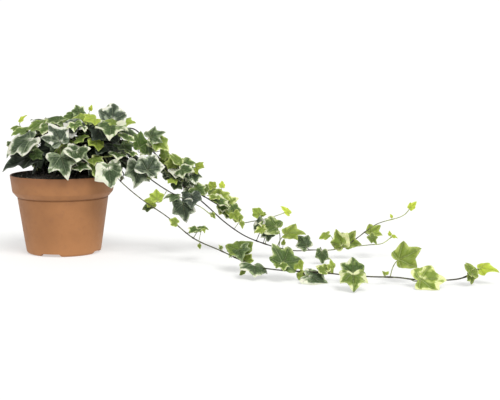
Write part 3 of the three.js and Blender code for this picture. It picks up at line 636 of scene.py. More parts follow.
def smooth_line(route):
    """A centripetal Catmull-Rom curve through the route's points, as points about one step apart."""
    points = np.array(route, float)
    points = np.vstack([2 * points[0] - points[1], points, 2 * points[-1] - points[-2]])
    share = np.linspace(0, 1, STEM.curve_points, endpoint=False)[:, None]
    fine = []
    for a, b, c, d in zip(points, points[1:], points[2:], points[3:]):
        before, here, after = (np.linalg.norm(q - p) ** 0.5 for p, q in ((a, b), (b, c), (c, d)))
        leave = ((b - a) / before - (c - a) / (before + here) + (c - b) / here) * here
        arrive = ((c - b) / here - (d - b) / (here + after) + (d - c) / after) * here
        square = -3 * b + 3 * c - 2 * leave - arrive
        cube = 2 * b - 2 * c + leave + arrive
        fine.append(b + share * (leave + share * (square + share * cube)))
    fine = np.vstack([*fine, points[-2]])
    reach = reaches(fine)
    even = np.linspace(0, reach[-1], max(2, math.ceil(reach[-1] / STEM.step) + 1))
    return np.stack([np.interp(even, reach, fine[:, i]) for i in range(3)], axis=1)


def reaches(line):
    """How far along a line each of its points is."""
    return np.concatenate([[0], np.cumsum(np.linalg.norm(np.diff(line, axis=0), axis=1))])


def nearest_on(line, target):
    """The nearest point of a line to the target, and how far along the line it is, from 0 to 1."""
    start, span = line[:-1], np.diff(line, axis=0)
    share = np.clip(((target - start) * span).sum(1) / (span * span).sum(1), 0, 1)
    points = start + share[:, None] * span
    best = np.argmin(np.linalg.norm(points - target, axis=1))
    return points[best], (best + share[best]) / len(span)


# ---------------------------------------------------------------- meshes


class Surface:
    """Collects the surfaces of one piece. Each point carries two vectors that the materials read."""

    def __init__(self):
        self.points, self.faces, self.slots, self.place, self.kind = [], [], [], [], []
        self.count = 0

    def add(self, points, faces, slot, place, kind):
        self.points.append(points)
        self.faces.extend([tuple(corner + self.count for corner in face) for face in faces])
        self.slots.extend([slot] * len(faces))
        self.place.append(place)
        self.kind.append(np.broadcast_to(kind, (len(points), 3)))
        self.count += len(points)

    def to_object(self, name, materials):
        mesh = bpy.data.meshes.new(name)
        mesh.from_pydata(np.vstack(self.points).tolist(), [], self.faces)
        for key, values in (("place", self.place), ("kind", self.kind)):
            attribute = mesh.attributes.new(key, "FLOAT_VECTOR", "POINT")
            attribute.data.foreach_set("vector", np.vstack(values).astype(np.float32).ravel())
        mesh.polygons.foreach_set("material_index", self.slots)
        return finished(name, mesh, materials)


def in_scene(name, data):
    """A new object of a mesh, a lamp or a camera."""
    made = bpy.data.objects.new(name, data)
    bpy.context.scene.collection.objects.link(made)
    return made


def finished(name, mesh, materials, sharp=50):
    """An object of a mesh, shaded smooth but for edges sharper than that angle in degrees."""
    mesh.validate()
    mesh.shade_smooth()
    mesh.set_sharp_from_angle(angle=math.radians(sharp))
    for material in materials:
        mesh.materials.append(material)
    return in_scene(name, mesh)


def tube(line, radii, sides):
    """The points and faces of a closed tube along a line, with its place: along, round and across."""
    steps = len(line)
    radii = np.broadcast_to(radii, steps)
    ways = np.gradient(line, axis=0)
    ways /= np.linalg.norm(ways, axis=1)[:, None]
    across = np.array([0.3, 1, 0.2])  # a way that no line here starts along
    turns = 2 * np.pi * np.arange(sides) / sides
    rings = []
    for point, way, radius in zip(line, ways, radii):
        across = unit(across - way * across.dot(way))
        third = np.cross(way, across)
        rings.append(point + radius * (np.outer(np.cos(turns), across) + np.outer(np.sin(turns), third)))
    points = np.vstack([*rings, line[0], line[-1]])
    reach = reaches(line)
    along = np.append(np.repeat(reach, sides), [0, reach[-1]])
    place = np.stack([along, np.append(np.tile(turns, steps), [0, 0]), np.zeros(len(along))], axis=1)
    return points, closed_faces(steps, sides), place


def lathe(profile, sides):
    """A closed mesh of revolution about Z. The profile of (radius, height) runs from axis to axis."""
    radii, heights = np.array(profile[1:-1]).T
    turns = 2 * np.pi * np.arange(sides) / sides
    rings = np.stack([
        np.outer(radii, np.cos(turns)),
        np.outer(radii, np.sin(turns)),
        np.repeat(heights[:, None], sides, axis=1),
    ], axis=-1).reshape(-1, 3)
    points = np.vstack([rings, [0, 0, profile[0][1]], [0, 0, profile[-1][1]]])
    return points, closed_faces(len(radii), sides)


def closed_faces(rings, sides):
    """The faces along rings of points, closed at each end by one of the two points after them."""
    after = [(side + 1) % sides for side in range(sides)]
    start, last = rings * sides, (rings - 1) * sides
    faces = [
        (base + k, base + after[k], base + sides + after[k], base + sides + k)
        for base in range(0, last, sides)
        for k in range(sides)
    ]
    for k in range(sides):
        faces += [(start, after[k], k), (start + 1, last + k, last + after[k])]
    return faces


def rounded(profile, radii):
    """A profile with its inner corners rounded, each by its own radius."""
    points = [np.array(point) for point in profile]
    made = [points[0]]
    for before, corner, after, radius in zip(points, points[1:], points[2:], radii):
        reach = min(radius, np.linalg.norm(corner - before) / 2, np.linalg.norm(after - corner) / 2)
        start = corner + reach * unit(before - corner)
        end = corner + reach * unit(after - corner)
        for share in np.linspace(0, 1, POT.corner_steps + 1):
            made.append((1 - share) ** 2 * start + 2 * share * (1 - share) * corner + share**2 * end)
    made.append(points[-1])
    return made


# ---------------------------------------------------------------- pot


def pot_profile():
    """The pot's section, and how far each of its corners is rounded."""
    band_foot = POT.height - POT.band_height
    body_top = band_foot - POT.chamfer_height
    inside = POT.recess + POT.floor
    ring_inside = POT.foot_radius - POT.foot_ring_width
    edge, wall = POT.edge_radius, POT.wall
    section = [
        (0, 0, 0),
        (POT.pad_radius, 0, edge),
        (POT.pad_radius, POT.recess, edge),
        (ring_inside, POT.recess, edge),
        (ring_inside, 0, edge),
        (POT.foot_radius, 0, POT.corner_radius),
        (POT.body_top_radius, body_top - 2 * POT.groove, edge),
        (POT.body_top_radius - POT.groove, body_top - POT.groove, edge / 2),
        (POT.body_top_radius - POT.groove, body_top, edge / 2),
        (POT.body_top_radius + POT.ledge, body_top + POT.ledge / 2, edge),
        (POT.band_foot_radius, band_foot, 3 * edge),
        (POT.rim_radius, POT.height - POT.lip_height, edge),
        (POT.rim_radius - POT.lip_inset, POT.height, edge),
        (POT.rim_radius - wall, POT.height, edge),
        (POT.band_foot_radius - wall, band_foot + POT.inside_step, edge),
        (POT.body_top_radius - wall, body_top + POT.inside_step, edge),
        (POT.foot_radius - wall, inside, POT.inside_corner),
        (0, inside, 0),
    ]
    points = [(radius, height) for radius, height, _ in section]
    return rounded(points, [corner for _, _, corner in section[1:-1]])


def notch_cutter():
    """A block with slanted ends, wider below, that cuts one gap through the foot ring."""
    half, slant, deep = NOTCH.width / 2, NOTCH.slant, POT.recess
    reach = 1.5 * POT.foot_ring_width
    ends = [(half + 2 * slant, -deep), (half - slant / 2, deep), (slant / 2 - half, deep),
            (-half - 2 * slant, -deep)]
    points = [(x, y - POT.foot_radius, z) for y in (-reach, reach) for x, z in ends]
    faces = [(0, 1, 2, 3), (7, 6, 5, 4), (0, 4, 5, 1), (1, 5, 6, 2), (2, 6, 7, 3), (3, 7, 4, 0)]
    return points, faces


def drain_cutter():
    high = 2 * POT.floor
    middle = POT.recess + POT.floor / 2
    profile = [(0, middle - high), (DRAIN.radius, middle - high), (DRAIN.radius, middle + high),
               (0, middle + high)]
    points, faces = lathe(profile, DRAIN.sides)
    return points - np.array([0, DRAIN.from_axis, 0]), faces


def cutter_ring(cutter, count, first_angle):
    """One mesh with copies of a cutter, turned about the pot's axis."""
    points, faces = cutter
    all_points, all_faces = [], []
    for i in range(count):
        turn = Matrix.Rotation(math.radians(first_angle + 90 + 360 * i / count), 3, "Z")
        all_faces += [tuple(corner + len(all_points) for corner in face) for face in faces]
        all_points += [turn @ Vector(point) for point in points]
    mesh = bpy.data.meshes.new("cutter")
    mesh.from_pydata(all_points, [], all_faces)
    return in_scene("cutter", mesh)


def make_pot(material):
    """The pot, turned from its section, with the notches and the drainage holes cut out."""
    points, faces = lathe(pot_profile(), POT.sides)
    mesh = bpy.data.meshes.new("pot_body")
    mesh.from_pydata(points.tolist(), [], faces)
    body = in_scene("pot_body", mesh)
    cutters = [
        cutter_ring(notch_cutter(), NOTCH.count, NOTCH.first_angle),
        cutter_ring(drain_cutter(), DRAIN.count, DRAIN.first_angle),
    ]
    for cutter in cutters:
        cut = body.modifiers.new("cut", "BOOLEAN")
        cut.object = cutter
        cut.solver = "EXACT"
    shaped = body.evaluated_get(bpy.context.evaluated_depsgraph_get())
    shaped = bpy.data.meshes.new_from_object(shaped)
    for temporary in [body, *cutters]:
        bpy.data.objects.remove(temporary)
    return finished("nursery_pot", shaped, [material], sharp=40)


# ---------------------------------------------------------------- soil


def soil_height(x, y, share):
    """The height of the soil's surface. share runs from 0 at the pot's wall to 1 at its axis."""
    level = POT.height - SOIL.below_rim + SOIL.mound * math.sin(share * math.pi / 2)
    rough = sum(size * noise.noise(Vector((x * fine, y * fine, fine))) for fine, size in SOIL.lumps)
    calm, slope = SOIL.calm_edge
    return level + rough * min(1, calm + slope * share)


def soil_edge():
    """The radius of the soil at its surface."""
    flare = (POT.rim_radius - POT.band_foot_radius) / POT.band_height
    return POT.rim_radius - POT.wall - SOIL.fit_gap - flare * SOIL.below_rim


def soil_profile():
    band_foot = POT.height - POT.band_height
    body_top = band_foot - POT.chamfer_height
    inset = POT.wall + SOIL.fit_gap
    bottom = POT.recess + POT.floor + SOIL.fit_gap
    corner = POT.inside_corner + SOIL.fit_gap
    step = POT.inside_step + SOIL.fit_gap
    top = POT.height - SOIL.below_rim
    shares = np.linspace(0, 1, SOIL.rings, endpoint=False)
    return [
        (0, bottom),
        (POT.foot_radius - inset - corner, bottom),
        (POT.foot_radius - inset, bottom + corner),
        (POT.body_top_radius - inset, body_top + step),
        (POT.band_foot_radius - inset, band_foot + step),
        *[(soil_edge() * (1 - share), top) for share in shares],
        (0, top),
    ]


def add_crumb(surface, place, size, tint, chance):
    """A lump of soil: a ball of twelve corners, squashed and turned at random."""
    golden = (1 + 5**0.5) / 2
    ball = [(-1, golden, 0), (1, golden, 0), (-1, -golden, 0), (1, -golden, 0)]
    ball = np.array([p[i:] + p[:i] for i in (0, 2, 1) for p in ball]) / np.hypot(1, golden)
    faces = [
        (0, 11, 5), (0, 5, 1), (0, 1, 7), (0, 7, 10), (0, 10, 11), (1, 5, 9), (5, 11, 4),
        (11, 10, 2), (10, 7, 6), (7, 1, 8), (3, 9, 4), (3, 4, 2), (3, 2, 6), (3, 6, 8),
        (3, 8, 9), (4, 9, 5), (2, 4, 11), (6, 2, 10), (8, 6, 7), (9, 8, 1),
    ]
    uneven = 1 + SOIL.crumb_uneven * chance.uniform(-1, 1, (len(ball), 1))
    ball = ball * uneven * chance.uniform(*SOIL.crumb_squash, 3)
    turn = np.array(Matrix.Rotation(chance.uniform(0, SOIL.crumb_turn), 3, chance.normal(size=3)))
    points = place + size * ball @ turn.T
    surface.add(points, faces, 0, np.zeros((len(ball), 3)), (tint, chance.random(), 0))


def make_soil(material):
    """The soil with its uneven surface, and crumbs strewn over it."""
    points, faces = lathe(soil_profile(), SOIL.sides)
    edge, top = soil_edge(), POT.height - SOIL.below_rim - SOIL.fit_gap
    for point in points:
        if point[2] > top:
            point[2] = soil_height(point[0], point[1], 1 - math.hypot(point[0], point[1]) / edge)
    surface = Surface()
    surface.add(points, faces, 0, np.zeros((len(points), 3)), (0, 0.5, 0))
    chance = np.random.default_rng(SOIL.seed)
    smallest, largest = SOIL.crumb_size
    for _ in range(SOIL.crumbs):
        size = smallest + (largest - smallest) * chance.random() ** 3
        reach, turn = (edge - size) * chance.random() ** 0.4, chance.uniform(0, 2 * math.pi)
        x, y = reach * math.cos(turn), reach * math.sin(turn)
        z = soil_height(x, y, 1 - reach / edge) + SOIL.crumb_lift * size
        add_crumb(surface, np.array([x, y, z]), size, chance.random() ** 8, chance)
    return surface.to_object("potting_soil", [material])


# ---------------------------------------------------------------- leaves


def blended(one, other, share):
    """A form between two forms of leaf."""
    return {part: (1 - share) * np.array(one[part]) + share * np.array(other[part]) for part in one}


def half_outline(form, steps, chance):
    """Half of a blade's outline from its tip to its base, as angles, standard angles and reaches.

    Each leaf's lobes are a little longer or shorter and turned a little. The standard angle is where
    the point would lie on a leaf with its lobes at LOBE_ANGLES.
    """
    keys, standard_keys = [], []
    for i, (tip, notch) in enumerate(zip(form["tips"], form["notches"])):
        turn, growth = 0, 1
        if i:
            turn = chance.uniform(-LOBES.turn, LOBES.turn)
            growth = chance.uniform(1 - LOBES.growth, 1 + LOBES.growth)
        keys += [(tip[0] + turn, tip[1] * growth), notch]
        standard_keys += [LOBE_ANGLES[i], NOTCH_ANGLES[i]]
    share = np.linspace(0, 1, steps, endpoint=False)
    angles, standard, lengths = [], [], []
    for i, (first, second) in enumerate(zip(keys, keys[1:])):
        angles.append(first[0] + (second[0] - first[0]) * share)
        standard.append(standard_keys[i] + (standard_keys[i + 1] - standard_keys[i]) * share)
        tip, notch, to_tip = (second, first, share) if i % 2 else (first, second, 1 - share)
        is_base = i == len(keys) - 2
        rise = (1 - np.cos(np.pi * to_tip)) / 2 if is_base else to_tip ** form["sharpness"]
        lengths.append(notch[1] + (tip[1] - notch[1]) * rise)
    base = keys[-1]
    return (
        np.radians(np.append(np.concatenate(angles), base[0])),
        np.radians(np.append(np.concatenate(standard), base[0])),
        np.append(np.concatenate(lengths), base[1]),
    )


def blade_grid(form, steps, rings, chance):
    """A flat blade of one unit: its middle, then rings of points out to its outline.

    Gives the points and the standard points as [across, along], and each point's distance to the edge.
    """
    right, left = (half_outline(form, steps, chance) for _ in range(2))
    angle, standard, reach = (
        np.concatenate([sign * right[i][::-1], mirror * left[i][1:-1]])
        for i, sign, mirror in ((0, 1, -1), (1, 1, -1), (2, 1, 1))
    )
    shares = (np.arange(1, rings + 1) / rings)[:, None]
    flat = []
    for turn in (angle, standard):
        ring = np.stack([shares * reach * np.sin(turn), shares * reach * np.cos(turn)], axis=-1)
        flat.append(np.vstack([[0, 0], ring.reshape(-1, 2)]))
    points, standard_points = flat
    return points, standard_points, edge_distance(points, points[-len(reach):])


def edge_distance(points, outline):
    """How far each point is from the outline's nearest edge."""
    span = np.roll(outline, -1, axis=0) - outline
    offset = points[:, None] - outline
    share = np.clip((offset * span).sum(-1) / (span * span).sum(-1), 0, 1)
    return np.linalg.norm(offset - share[..., None] * span, axis=-1).min(axis=1)


def blade_faces(around, rings):
    """The faces of a blade_grid's upper side, anticlockwise: triangles round the middle, then quads."""
    after = (np.arange(around) + 1) % around
    faces = [(0, 1 + k, 1 + after[k]) for k in range(around)]
    for ring in range(rings - 1):
        inner = 1 + ring * around
        outer = inner + around
        faces += [(inner + k, outer + k, outer + after[k], inner + after[k]) for k in range(around)]
    return faces


def vein_distance(across, along):
    """How far a point of the blade is from the nearest of its main veins."""
    reach, angle = np.hypot(across, along), np.arctan2(np.abs(across), along)
    return reach * np.sin(np.abs(angle[..., None] - np.radians(LOBE_ANGLES)).min(axis=-1))


def random_curl(chance):
    """How one blade departs from the plain form: in its tip, its sides and its ruffled edge."""
    curl = {part: chance.uniform(*limits) for part, limits in CURL.items()}
    return Values(**curl, waves=chance.integers(*RUFFLES), phase=chance.uniform(0, 2 * np.pi))


def blade_height(points, standard, curl):
    """How far each point of a blade stands above its stalk's end, for a blade of one unit."""
    across, along = points.T
    square = across**2 + along**2
    ridge = 1 - np.exp(-((vein_distance(*standard.T) / LEAF.quilt_width) ** 2))
    waves, angle = LEAF.waves, np.arctan2(across, along)
    return (
        LEAF.fold * np.abs(across)
        - LEAF.droop * square
        + LEAF.wave * np.sin(waves[0] * across + waves[1] * along)
        + LEAF.quilt * ridge
        - curl.tip * np.maximum(along - LEAF.tip_from, 0) ** 2
        - curl.sides * across**2
        + curl.ruffle * square * np.sin(curl.waves * angle + curl.phase)
    )


def blade_axes(aim, lean, rise, turn):
    """A blade's own axes: across it, along its midrib, and out of its upper face."""
    aim, lean, rise, turn = np.radians([aim, lean, rise, turn])
    along = np.array([np.cos(lean) * np.cos(aim), -np.sin(lean), np.cos(lean) * np.sin(aim)])
    facing = np.array([np.cos(rise) * np.sin(turn), -np.cos(rise) * np.cos(turn), np.sin(rise)])
    up = unit(facing - along * facing.dot(along))
    return np.stack([np.cross(along, up), along, up])


def settled(points):
    """Points that would go under the surface that the plant lies on are bent up to rest on it."""
    soft = LEAF.resting
    low = points[:, 2] - LEAF.lowest - LEAF.thickness
    points[:, 2] += np.where(low < soft, soft * np.exp((np.minimum(low, soft) - soft) / soft) - low, 0)
    return points


def mean_normals(points, faces):
    """The direction that each point's faces look to, on average."""
    corners = np.array([face if len(face) == 4 else (*face, face[-1]) for face in faces])
    a, b, c, d = (points[corners[:, i]] for i in range(4))
    normals = np.zeros_like(points)
    for i in range(4):
        np.add.at(normals, corners[:, i], np.cross(c - a, d - b))
    return normals / np.linalg.norm(normals, axis=1)[:, None]


def leaf_form(width, tone, cut):
    """The outline of a leaf: small and young leaves are narrow, and the rest are more or less cut."""
    if tone > YOUNG_LEAF.tone or width < YOUNG_LEAF.width:
        return blended(YOUNG, SHIELD, YOUNG_LEAF.cut * abs(cut))
    return blended(SHIELD, STAR, cut) if cut > 0 else blended(SHIELD, WEDGE, -cut)


def add_leaf(surface, row, carrier, chance):
    """One leaf, its blade and its stalk. Gives how far along its stem the stalk starts."""
    x, y, z, aim, lean, rise, turn, width, tone, *looks = row
    usual = (*(chance.uniform(*limits) for limits in USUAL_LOOKS), chance.random())
    cream, cut, side = (*looks, *usual[len(looks):])
    foot, axes = np.array([x, y, z]), blade_axes(aim, lean, rise, turn)
    steps, rings = next(fine for least, *fine in FINENESS if width > least)
    flat, standard, edge = blade_grid(leaf_form(width, tone, cut), steps, rings, chance)
    curl = random_curl(chance)
    height = blade_height(flat, standard, curl)
    across = flat[:, 0] + curl.bend * np.maximum(flat[:, 1], 0) ** 2
    upper = settled(foot + width * np.stack([across, flat[:, 1], height], axis=1) @ axes)
    around = (len(flat) - 1) // rings
    faces = blade_faces(around, rings)
    inside = np.minimum(1, edge / LEAF.rim_width)
    thickness = LEAF.rim_thickness + (LEAF.thickness - LEAF.rim_thickness) * inside
    lower = upper - mean_normals(upper, faces) * thickness[:, None]
    place = np.column_stack([standard, edge])
    kind = (tone, side, cream)
    count, first = len(upper), len(upper) - around
    rim = [
        (first + (k + 1) % around, first + k, first + k + count, first + (k + 1) % around + count)
        for k in range(around)
    ]
    surface.add(np.vstack([upper, lower]), faces + rim, UPPER, np.vstack([place, place]), kind)
    surface.faces += [tuple(c + surface.count - count for c in face[::-1]) for face in faces]
    surface.slots += [UNDER] * len(faces)
    return add_stalk(surface, foot, width, axes, tone, curl, carrier)


def add_stalk(surface, foot, width, axes, tone, curl, carrier):
    """A leaf's stalk, from its stem to the blade, and on under the blade as its midrib."""
    joint, share = nearest_on(carrier, foot - STALK.neck * width * axes[1])
    if np.linalg.norm(joint - foot) < STALK.shortest:
        joint = foot - STALK.shortest * axes[1]
    length = np.linalg.norm(joint - foot)
    bend = foot - STALK.neck * length * axes[1] - STALK.sag * length * axes[2]
    t = np.linspace(0, 1, STALK.steps)[:, None]
    stalk = (1 - t) ** 2 * joint + 2 * t * (1 - t) * bend + t**2 * foot
    along = np.linspace(0, RIB.share, STALK.steps)[1:]
    middle = np.stack([np.zeros_like(along), along], axis=1)
    rise = blade_height(middle, middle, curl)
    rib = foot + width * np.stack([curl.bend * along**2, along, rise], axis=1) @ axes
    line = np.vstack([stalk, rib])
    thin = STALK.thinnest + (1 - STALK.thinnest) * min(1, width / STALK.full_width)
    radii = thin * np.append(
        np.full(len(stalk), STALK.radius),
        np.linspace(RIB.radius, RIB.end_radius, len(rib)),
    )
    at_joint, along_rib = RIB.below
    drop = np.append(at_joint * radii[len(stalk)], along_rib * radii[len(stalk):])
    line[len(stalk) - 1:] -= drop[:, None] * axes[2]
    points, faces, place = tube(settled(line), radii, STALK.sides)
    old, young = STALK.ages
    surface.add(points, faces, BARK, place, (old + (young - old) * tone, 0, 0))
    return share


# ---------------------------------------------------------------- stems


def add_stem(surface, line, radii, ages, knots):
    """One stem, a little thicker where each stalk leaves it, with the bud at its end."""
    shares = np.linspace(0, 1, len(line))
    swell = np.zeros(len(line))
    for knot in knots:
        apart = (shares - knot) * reaches(line)[-1] / STEM.knot_length
        swell = np.maximum(swell, np.exp(-(apart**2)))
    radius = (radii[0] + (radii[1] - radii[0]) * shares) * (1 + STEM.knot * swell)
    points, faces, place = tube(line, radius, STEM.sides)
    age = ages[0] + (ages[1] - ages[0]) * shares
    kind = np.zeros((len(points), 3))
    kind[:, 0] = np.append(np.repeat(age, STEM.sides), [age[0], age[-1]])
    surface.add(points, faces, BARK, place, kind)
    add_bud(surface, line[-1], unit(line[-1] - line[-2]))


def add_bud(surface, foot, way):
    """The pointed bud at the end of a stem."""
    shares = np.linspace(0, 1, BUD.steps)
    line = foot + BUD.length * (shares[:, None] - BUD.sunk) * way
    radii = BUD.radius * (BUD.foot + np.sin(np.pi * shares**BUD.belly) ** BUD.fullness)
    points, faces, place = tube(line, radii, STALK.sides)
    surface.add(points, faces, BARK, place, (1, 0, 0))


def make_leafy_stem(name, stem, materials, seed):
    """A stem, its branch and their leaves, as one piece."""
    chance = np.random.default_rng(seed)
    surface = Surface()
    line = smooth_line(stem["route"])
    above = (line[:, 2] > POT.height) | (line[:, 0] > POT.rim_radius)
    carriers = [line[above]]
    if "branch" in stem:
        carriers.append(smooth_line(stem["branch"]))
    knots = [[] for _ in carriers]
    for row in stem["leaves"]:
        gaps = [np.linalg.norm(nearest_on(carrier, row[:3])[0] - row[:3]) for carrier in carriers]
        on = int(np.argmin(gaps))
        knots[on].append(add_leaf(surface, row, carriers[on], chance))
    buried = 1 - len(carriers[0]) / len(line)
    knots[0] = [buried + (1 - buried) * knot for knot in knots[0]]
    thick, ages = stem.get("thick", STEM.thick), stem.get("ages", STEM.ages)
    add_stem(surface, line, thick, ages, knots[0])
    if "branch" in stem:
        thick = (STEM.branch_share * thick[0], thick[1])
        add_stem(surface, carriers[1], thick, STEM.branch_ages, knots[1])
    return surface.to_object(name, materials)


# ---------------------------------------------------------------- the back of the crown


def on_dome(angle, rise, depth):
    """A point of the crown's dome, seen from its centre, or inside it where depth is less than 1."""
    angle, rise = math.radians(angle), math.radians(rise)
    way = np.array([math.cos(angle) * math.cos(rise), math.sin(angle) * math.cos(rise), math.sin(rise)])
    return np.array(DOME.centre) + np.array(DOME.radii) * depth * way


def hanging_leaf(foot, centre, draw):
    """How a leaf lies that faces out of the crown, with its tip hanging down and a little outwards."""
    facing = unit(foot - np.array(centre))
    swing = Matrix.Rotation(math.radians(BACK.vary.swing * (draw() - 0.5)), 3, Vector(facing))
    hang = np.array(swing @ Vector((0, 0, -1)))
    hang = unit(hang + facing * (BACK.outward - hang.dot(facing)))
    return (
        *foot,
        math.degrees(math.atan2(hang[2], hang[0])), math.degrees(math.asin(-hang[1])),
        math.degrees(math.asin(facing[2])), math.degrees(math.atan2(facing[0], -facing[1])),
    )


def dome_leaf(angle, rise, depth, width, draw):
    """A leaf on the dome. At the far left it hangs short, so that light shows under it."""
    vary = BACK.vary
    angle += vary.angle * (draw() - 0.5)
    rise += vary.rise * (draw() - 0.5)
    x, y, z, *lie = hanging_leaf(on_dome(angle, rise, depth), DOME.centre, draw)
    width *= 1 + vary.width * (draw() - 0.5)
    if x < BACK.light_gap.left_of:
        tip = z + width * math.sin(math.radians(lie[0])) * math.cos(math.radians(lie[1]))
        z += max(0, BACK.light_gap.tips_above - tip)
    return (x, y, z, *lie, width)


def back_shoot(sector, draw, chance):
    """A shoot at the back of the crown: its route, and the leaves of its sector of the dome."""
    x, y = (BACK.root_radius * turn(math.radians(sector)) for turn in (math.cos, math.sin))
    route = [(x, y, BACK.root_height), (x, y, BACK.straight_to)]
    route += [on_dome(sector, rise, depth) for rise, depth in BACK.bends]
    leaves = []
    kinds = zip((BACK.rows, BACK.small_rows), (draw, chance.random), BACK.newest)
    for rows, draw_place, newest in kinds:
        for rise, count, spread, depth, width in rows:
            for i in range(count):
                angle = sector + spread * (i - (count - 1) / 2)
                leaf = dome_leaf(angle, rise, depth, width, draw_place)
                leaves.append((*leaf, newest * chance.random() ** BACK.rarity))
    return {"route": route, "leaves": leaves, "ages": BACK.ages}


def fill_crown(stems):
    """Adds the older leaves inside the crown, each to the shoot whose stem passes nearest to it."""
    chance = np.random.default_rng(FILL.seed)
    lines = {name: smooth_line(stems[name]["route"][1:]) for name in stems if "shoot" in name}
    for _ in range(FILL.count):
        way = unit(chance.normal(size=3))
        foot = np.array(FILL.centre) + np.array(FILL.radii) * way * chance.random() ** FILL.spread
        leaf = hanging_leaf(foot, FILL.centre, chance.random)
        width = chance.uniform(*FILL.width)
        looks = (FILL.tone * chance.random(), chance.uniform(*FILL.cream), chance.random())
        drop = width * math.sin(math.radians(leaf[3])) * math.cos(math.radians(leaf[4]))
        if foot[2] < FILL.lowest or foot[2] + drop < POT.height or foot[0] < FILL.leftmost:
            continue
        near = min(lines, key=lambda name: np.linalg.norm(lines[name] - foot, axis=1).min())
        stems[near]["leaves"].append((*leaf, width, *looks))


# ---------------------------------------------------------------- materials


class Graph:
    """Short ways to write a material's nodes."""

    def __init__(self, name):
        self.material = bpy.data.materials.new(name)
        self.material.use_nodes = True
        self.tree = self.material.node_tree
        self.tree.nodes.clear()

    def node(self, kind, inputs=(), **settings):
        made = self.tree.nodes.new("ShaderNode" + kind)
        for key, value in settings.items():
            setattr(made, key, value)
        for key, value in dict(inputs).items():
            if isinstance(value, bpy.types.NodeSocket):
                self.tree.links.new(value, made.inputs[key])
            else:
                made.inputs[key].default_value = value
        return made

    def math(self, operation, *values):
        return self.node("Math", enumerate(values), operation=operation).outputs[0]

    def plus(self, one, other):
        return self.math("ADD", one, other)

    def times(self, one, other):
        return self.math("MULTIPLY", one, other)

    def linear(self, value, slope, start):
        return self.math("MULTIPLY_ADD", value, slope, start)

    def apart(self, one, other):
        """How far two values are from each other."""
        return self.math("ABSOLUTE", self.math("SUBTRACT", one, other))

    def mix(self, share, one, other, blend="MIX"):
        inputs = {0: share, 6: one, 7: other}
        return self.node("Mix", inputs, data_type="RGBA", blend_type=blend).outputs[2]

    def ramp(self, value, stops):
        """The colours at the stops, and what lies between them."""
        made = self.node("ValToRGB", {"Fac": value})
        elements = made.color_ramp.elements
        while len(elements) < len(stops):
            elements.new(0.5)
        for element, (place, shade) in zip(elements, stops):
            element.position = place
            element.color = colour(*shade)
        return made.outputs["Color"]

    def level(self, value, low, high, to_low=0.0, to_high=1.0):
        """A smooth step of value from low to high."""
        inputs = {"Value": value, "From Min": low, "From Max": high, "To Min": to_low, "To Max": to_high}
        return self.node("MapRange", inputs, interpolation_type="SMOOTHSTEP").outputs["Result"]

    def layer(self, base, value, low, high, to_low, to_high, shade):
        """A colour over the base, whose share follows a value."""
        return self.mix(self.level(value, low, high, to_low, to_high), base, colour(*shade))

    def noise(self, vector, scale, detail=3.0, roughness=0.55):
        inputs = {"Vector": vector, "Scale": scale, "Detail": detail, "Roughness": roughness}
        return self.node("TexNoise", inputs).outputs["Fac"]

    def swing(self, value, size):
        """A noise, swung evenly about zero, over that whole range."""
        return self.times(self.math("SUBTRACT", value, 0.5), size)

    def attribute(self, name):
        vector = self.node("Attribute", attribute_name=name).outputs["Vector"]
        return self.node("SeparateXYZ", {"Vector": vector}).outputs[:]

    def vector(self, *parts):
        return self.node("CombineXYZ", enumerate(parts)).outputs["Vector"]

    def object_place(self):
        return self.node("TexCoord").outputs["Object"]

    def finish(self, inputs, relief, distance, strength=1.0):
        """The material, with its relief as a bump of that distance."""
        bump = self.node("Bump", {"Height": relief, "Distance": distance, "Strength": strength})
        shader = self.node("BsdfPrincipled", {**inputs, "Normal": bump.outputs["Normal"]})
        output = self.node("OutputMaterial")
        self.tree.links.new(shader.outputs["BSDF"], output.inputs["Surface"])
        return self.material


def pot_material():
    """Satin, slightly mottled terracotta-coloured plastic."""
    g = Graph("terracotta_plastic")
    place = g.object_place()
    broad, fine = g.noise(place, PLASTIC.mottle_scale), g.noise(place, PLASTIC.dust_scale, detail=4)
    speck = g.noise(place, PLASTIC.speck_scale, detail=2)
    height = g.node("SeparateXYZ", {"Vector": place}).outputs["Z"]
    body_top = POT.height - POT.band_height - POT.chamfer_height
    base = g.layer(g.ramp(broad, PLASTIC.mottle), fine, *PLASTIC.dust)
    # painted light: lighter towards the foot, as if lit from the floor
    base = g.layer(base, height, *PLASTIC.pale_foot)
    base = g.layer(base, speck, *PLASTIC.specks)
    # painted shade in the groove below the band
    base = g.layer(base, g.apart(height, body_top), *PLASTIC.crease)
    # painted shade: darker towards the rim, with a ragged lower edge
    base = g.layer(base, g.plus(height, g.swing(broad, PLASTIC.ragged)), *PLASTIC.dark_rim)
    roughness = g.level(fine, *PLASTIC.roughness)
    relief = g.plus(fine, g.times(speck, PLASTIC.speck_relief))
    inputs = {"Base Color": base, "Roughness": roughness, "Specular IOR Level": 0.4}
    return g.finish(inputs, relief, distance=0.00012, strength=0.6)


def soil_material():
    """Dark, damp potting soil. A crumb's tint is lighter for the few grains of grit."""
    g = Graph("damp_soil")
    place = g.object_place()
    tint, own, _ = g.attribute("kind")
    clump = g.noise(place, EARTH.clump_scale, detail=5, roughness=0.7)
    grain = g.noise(place, EARTH.grain_scale)
    base = g.layer(g.ramp(clump, EARTH.shades), own, *EARTH.fibre)
    base = g.layer(base, tint, *EARTH.grit)
    relief = g.plus(clump, g.times(grain, EARTH.grain_relief))
    inputs = {"Base Color": base, "Roughness": 0.95, "Specular IOR Level": 0.25}
    return g.finish(inputs, relief, distance=0.0008)


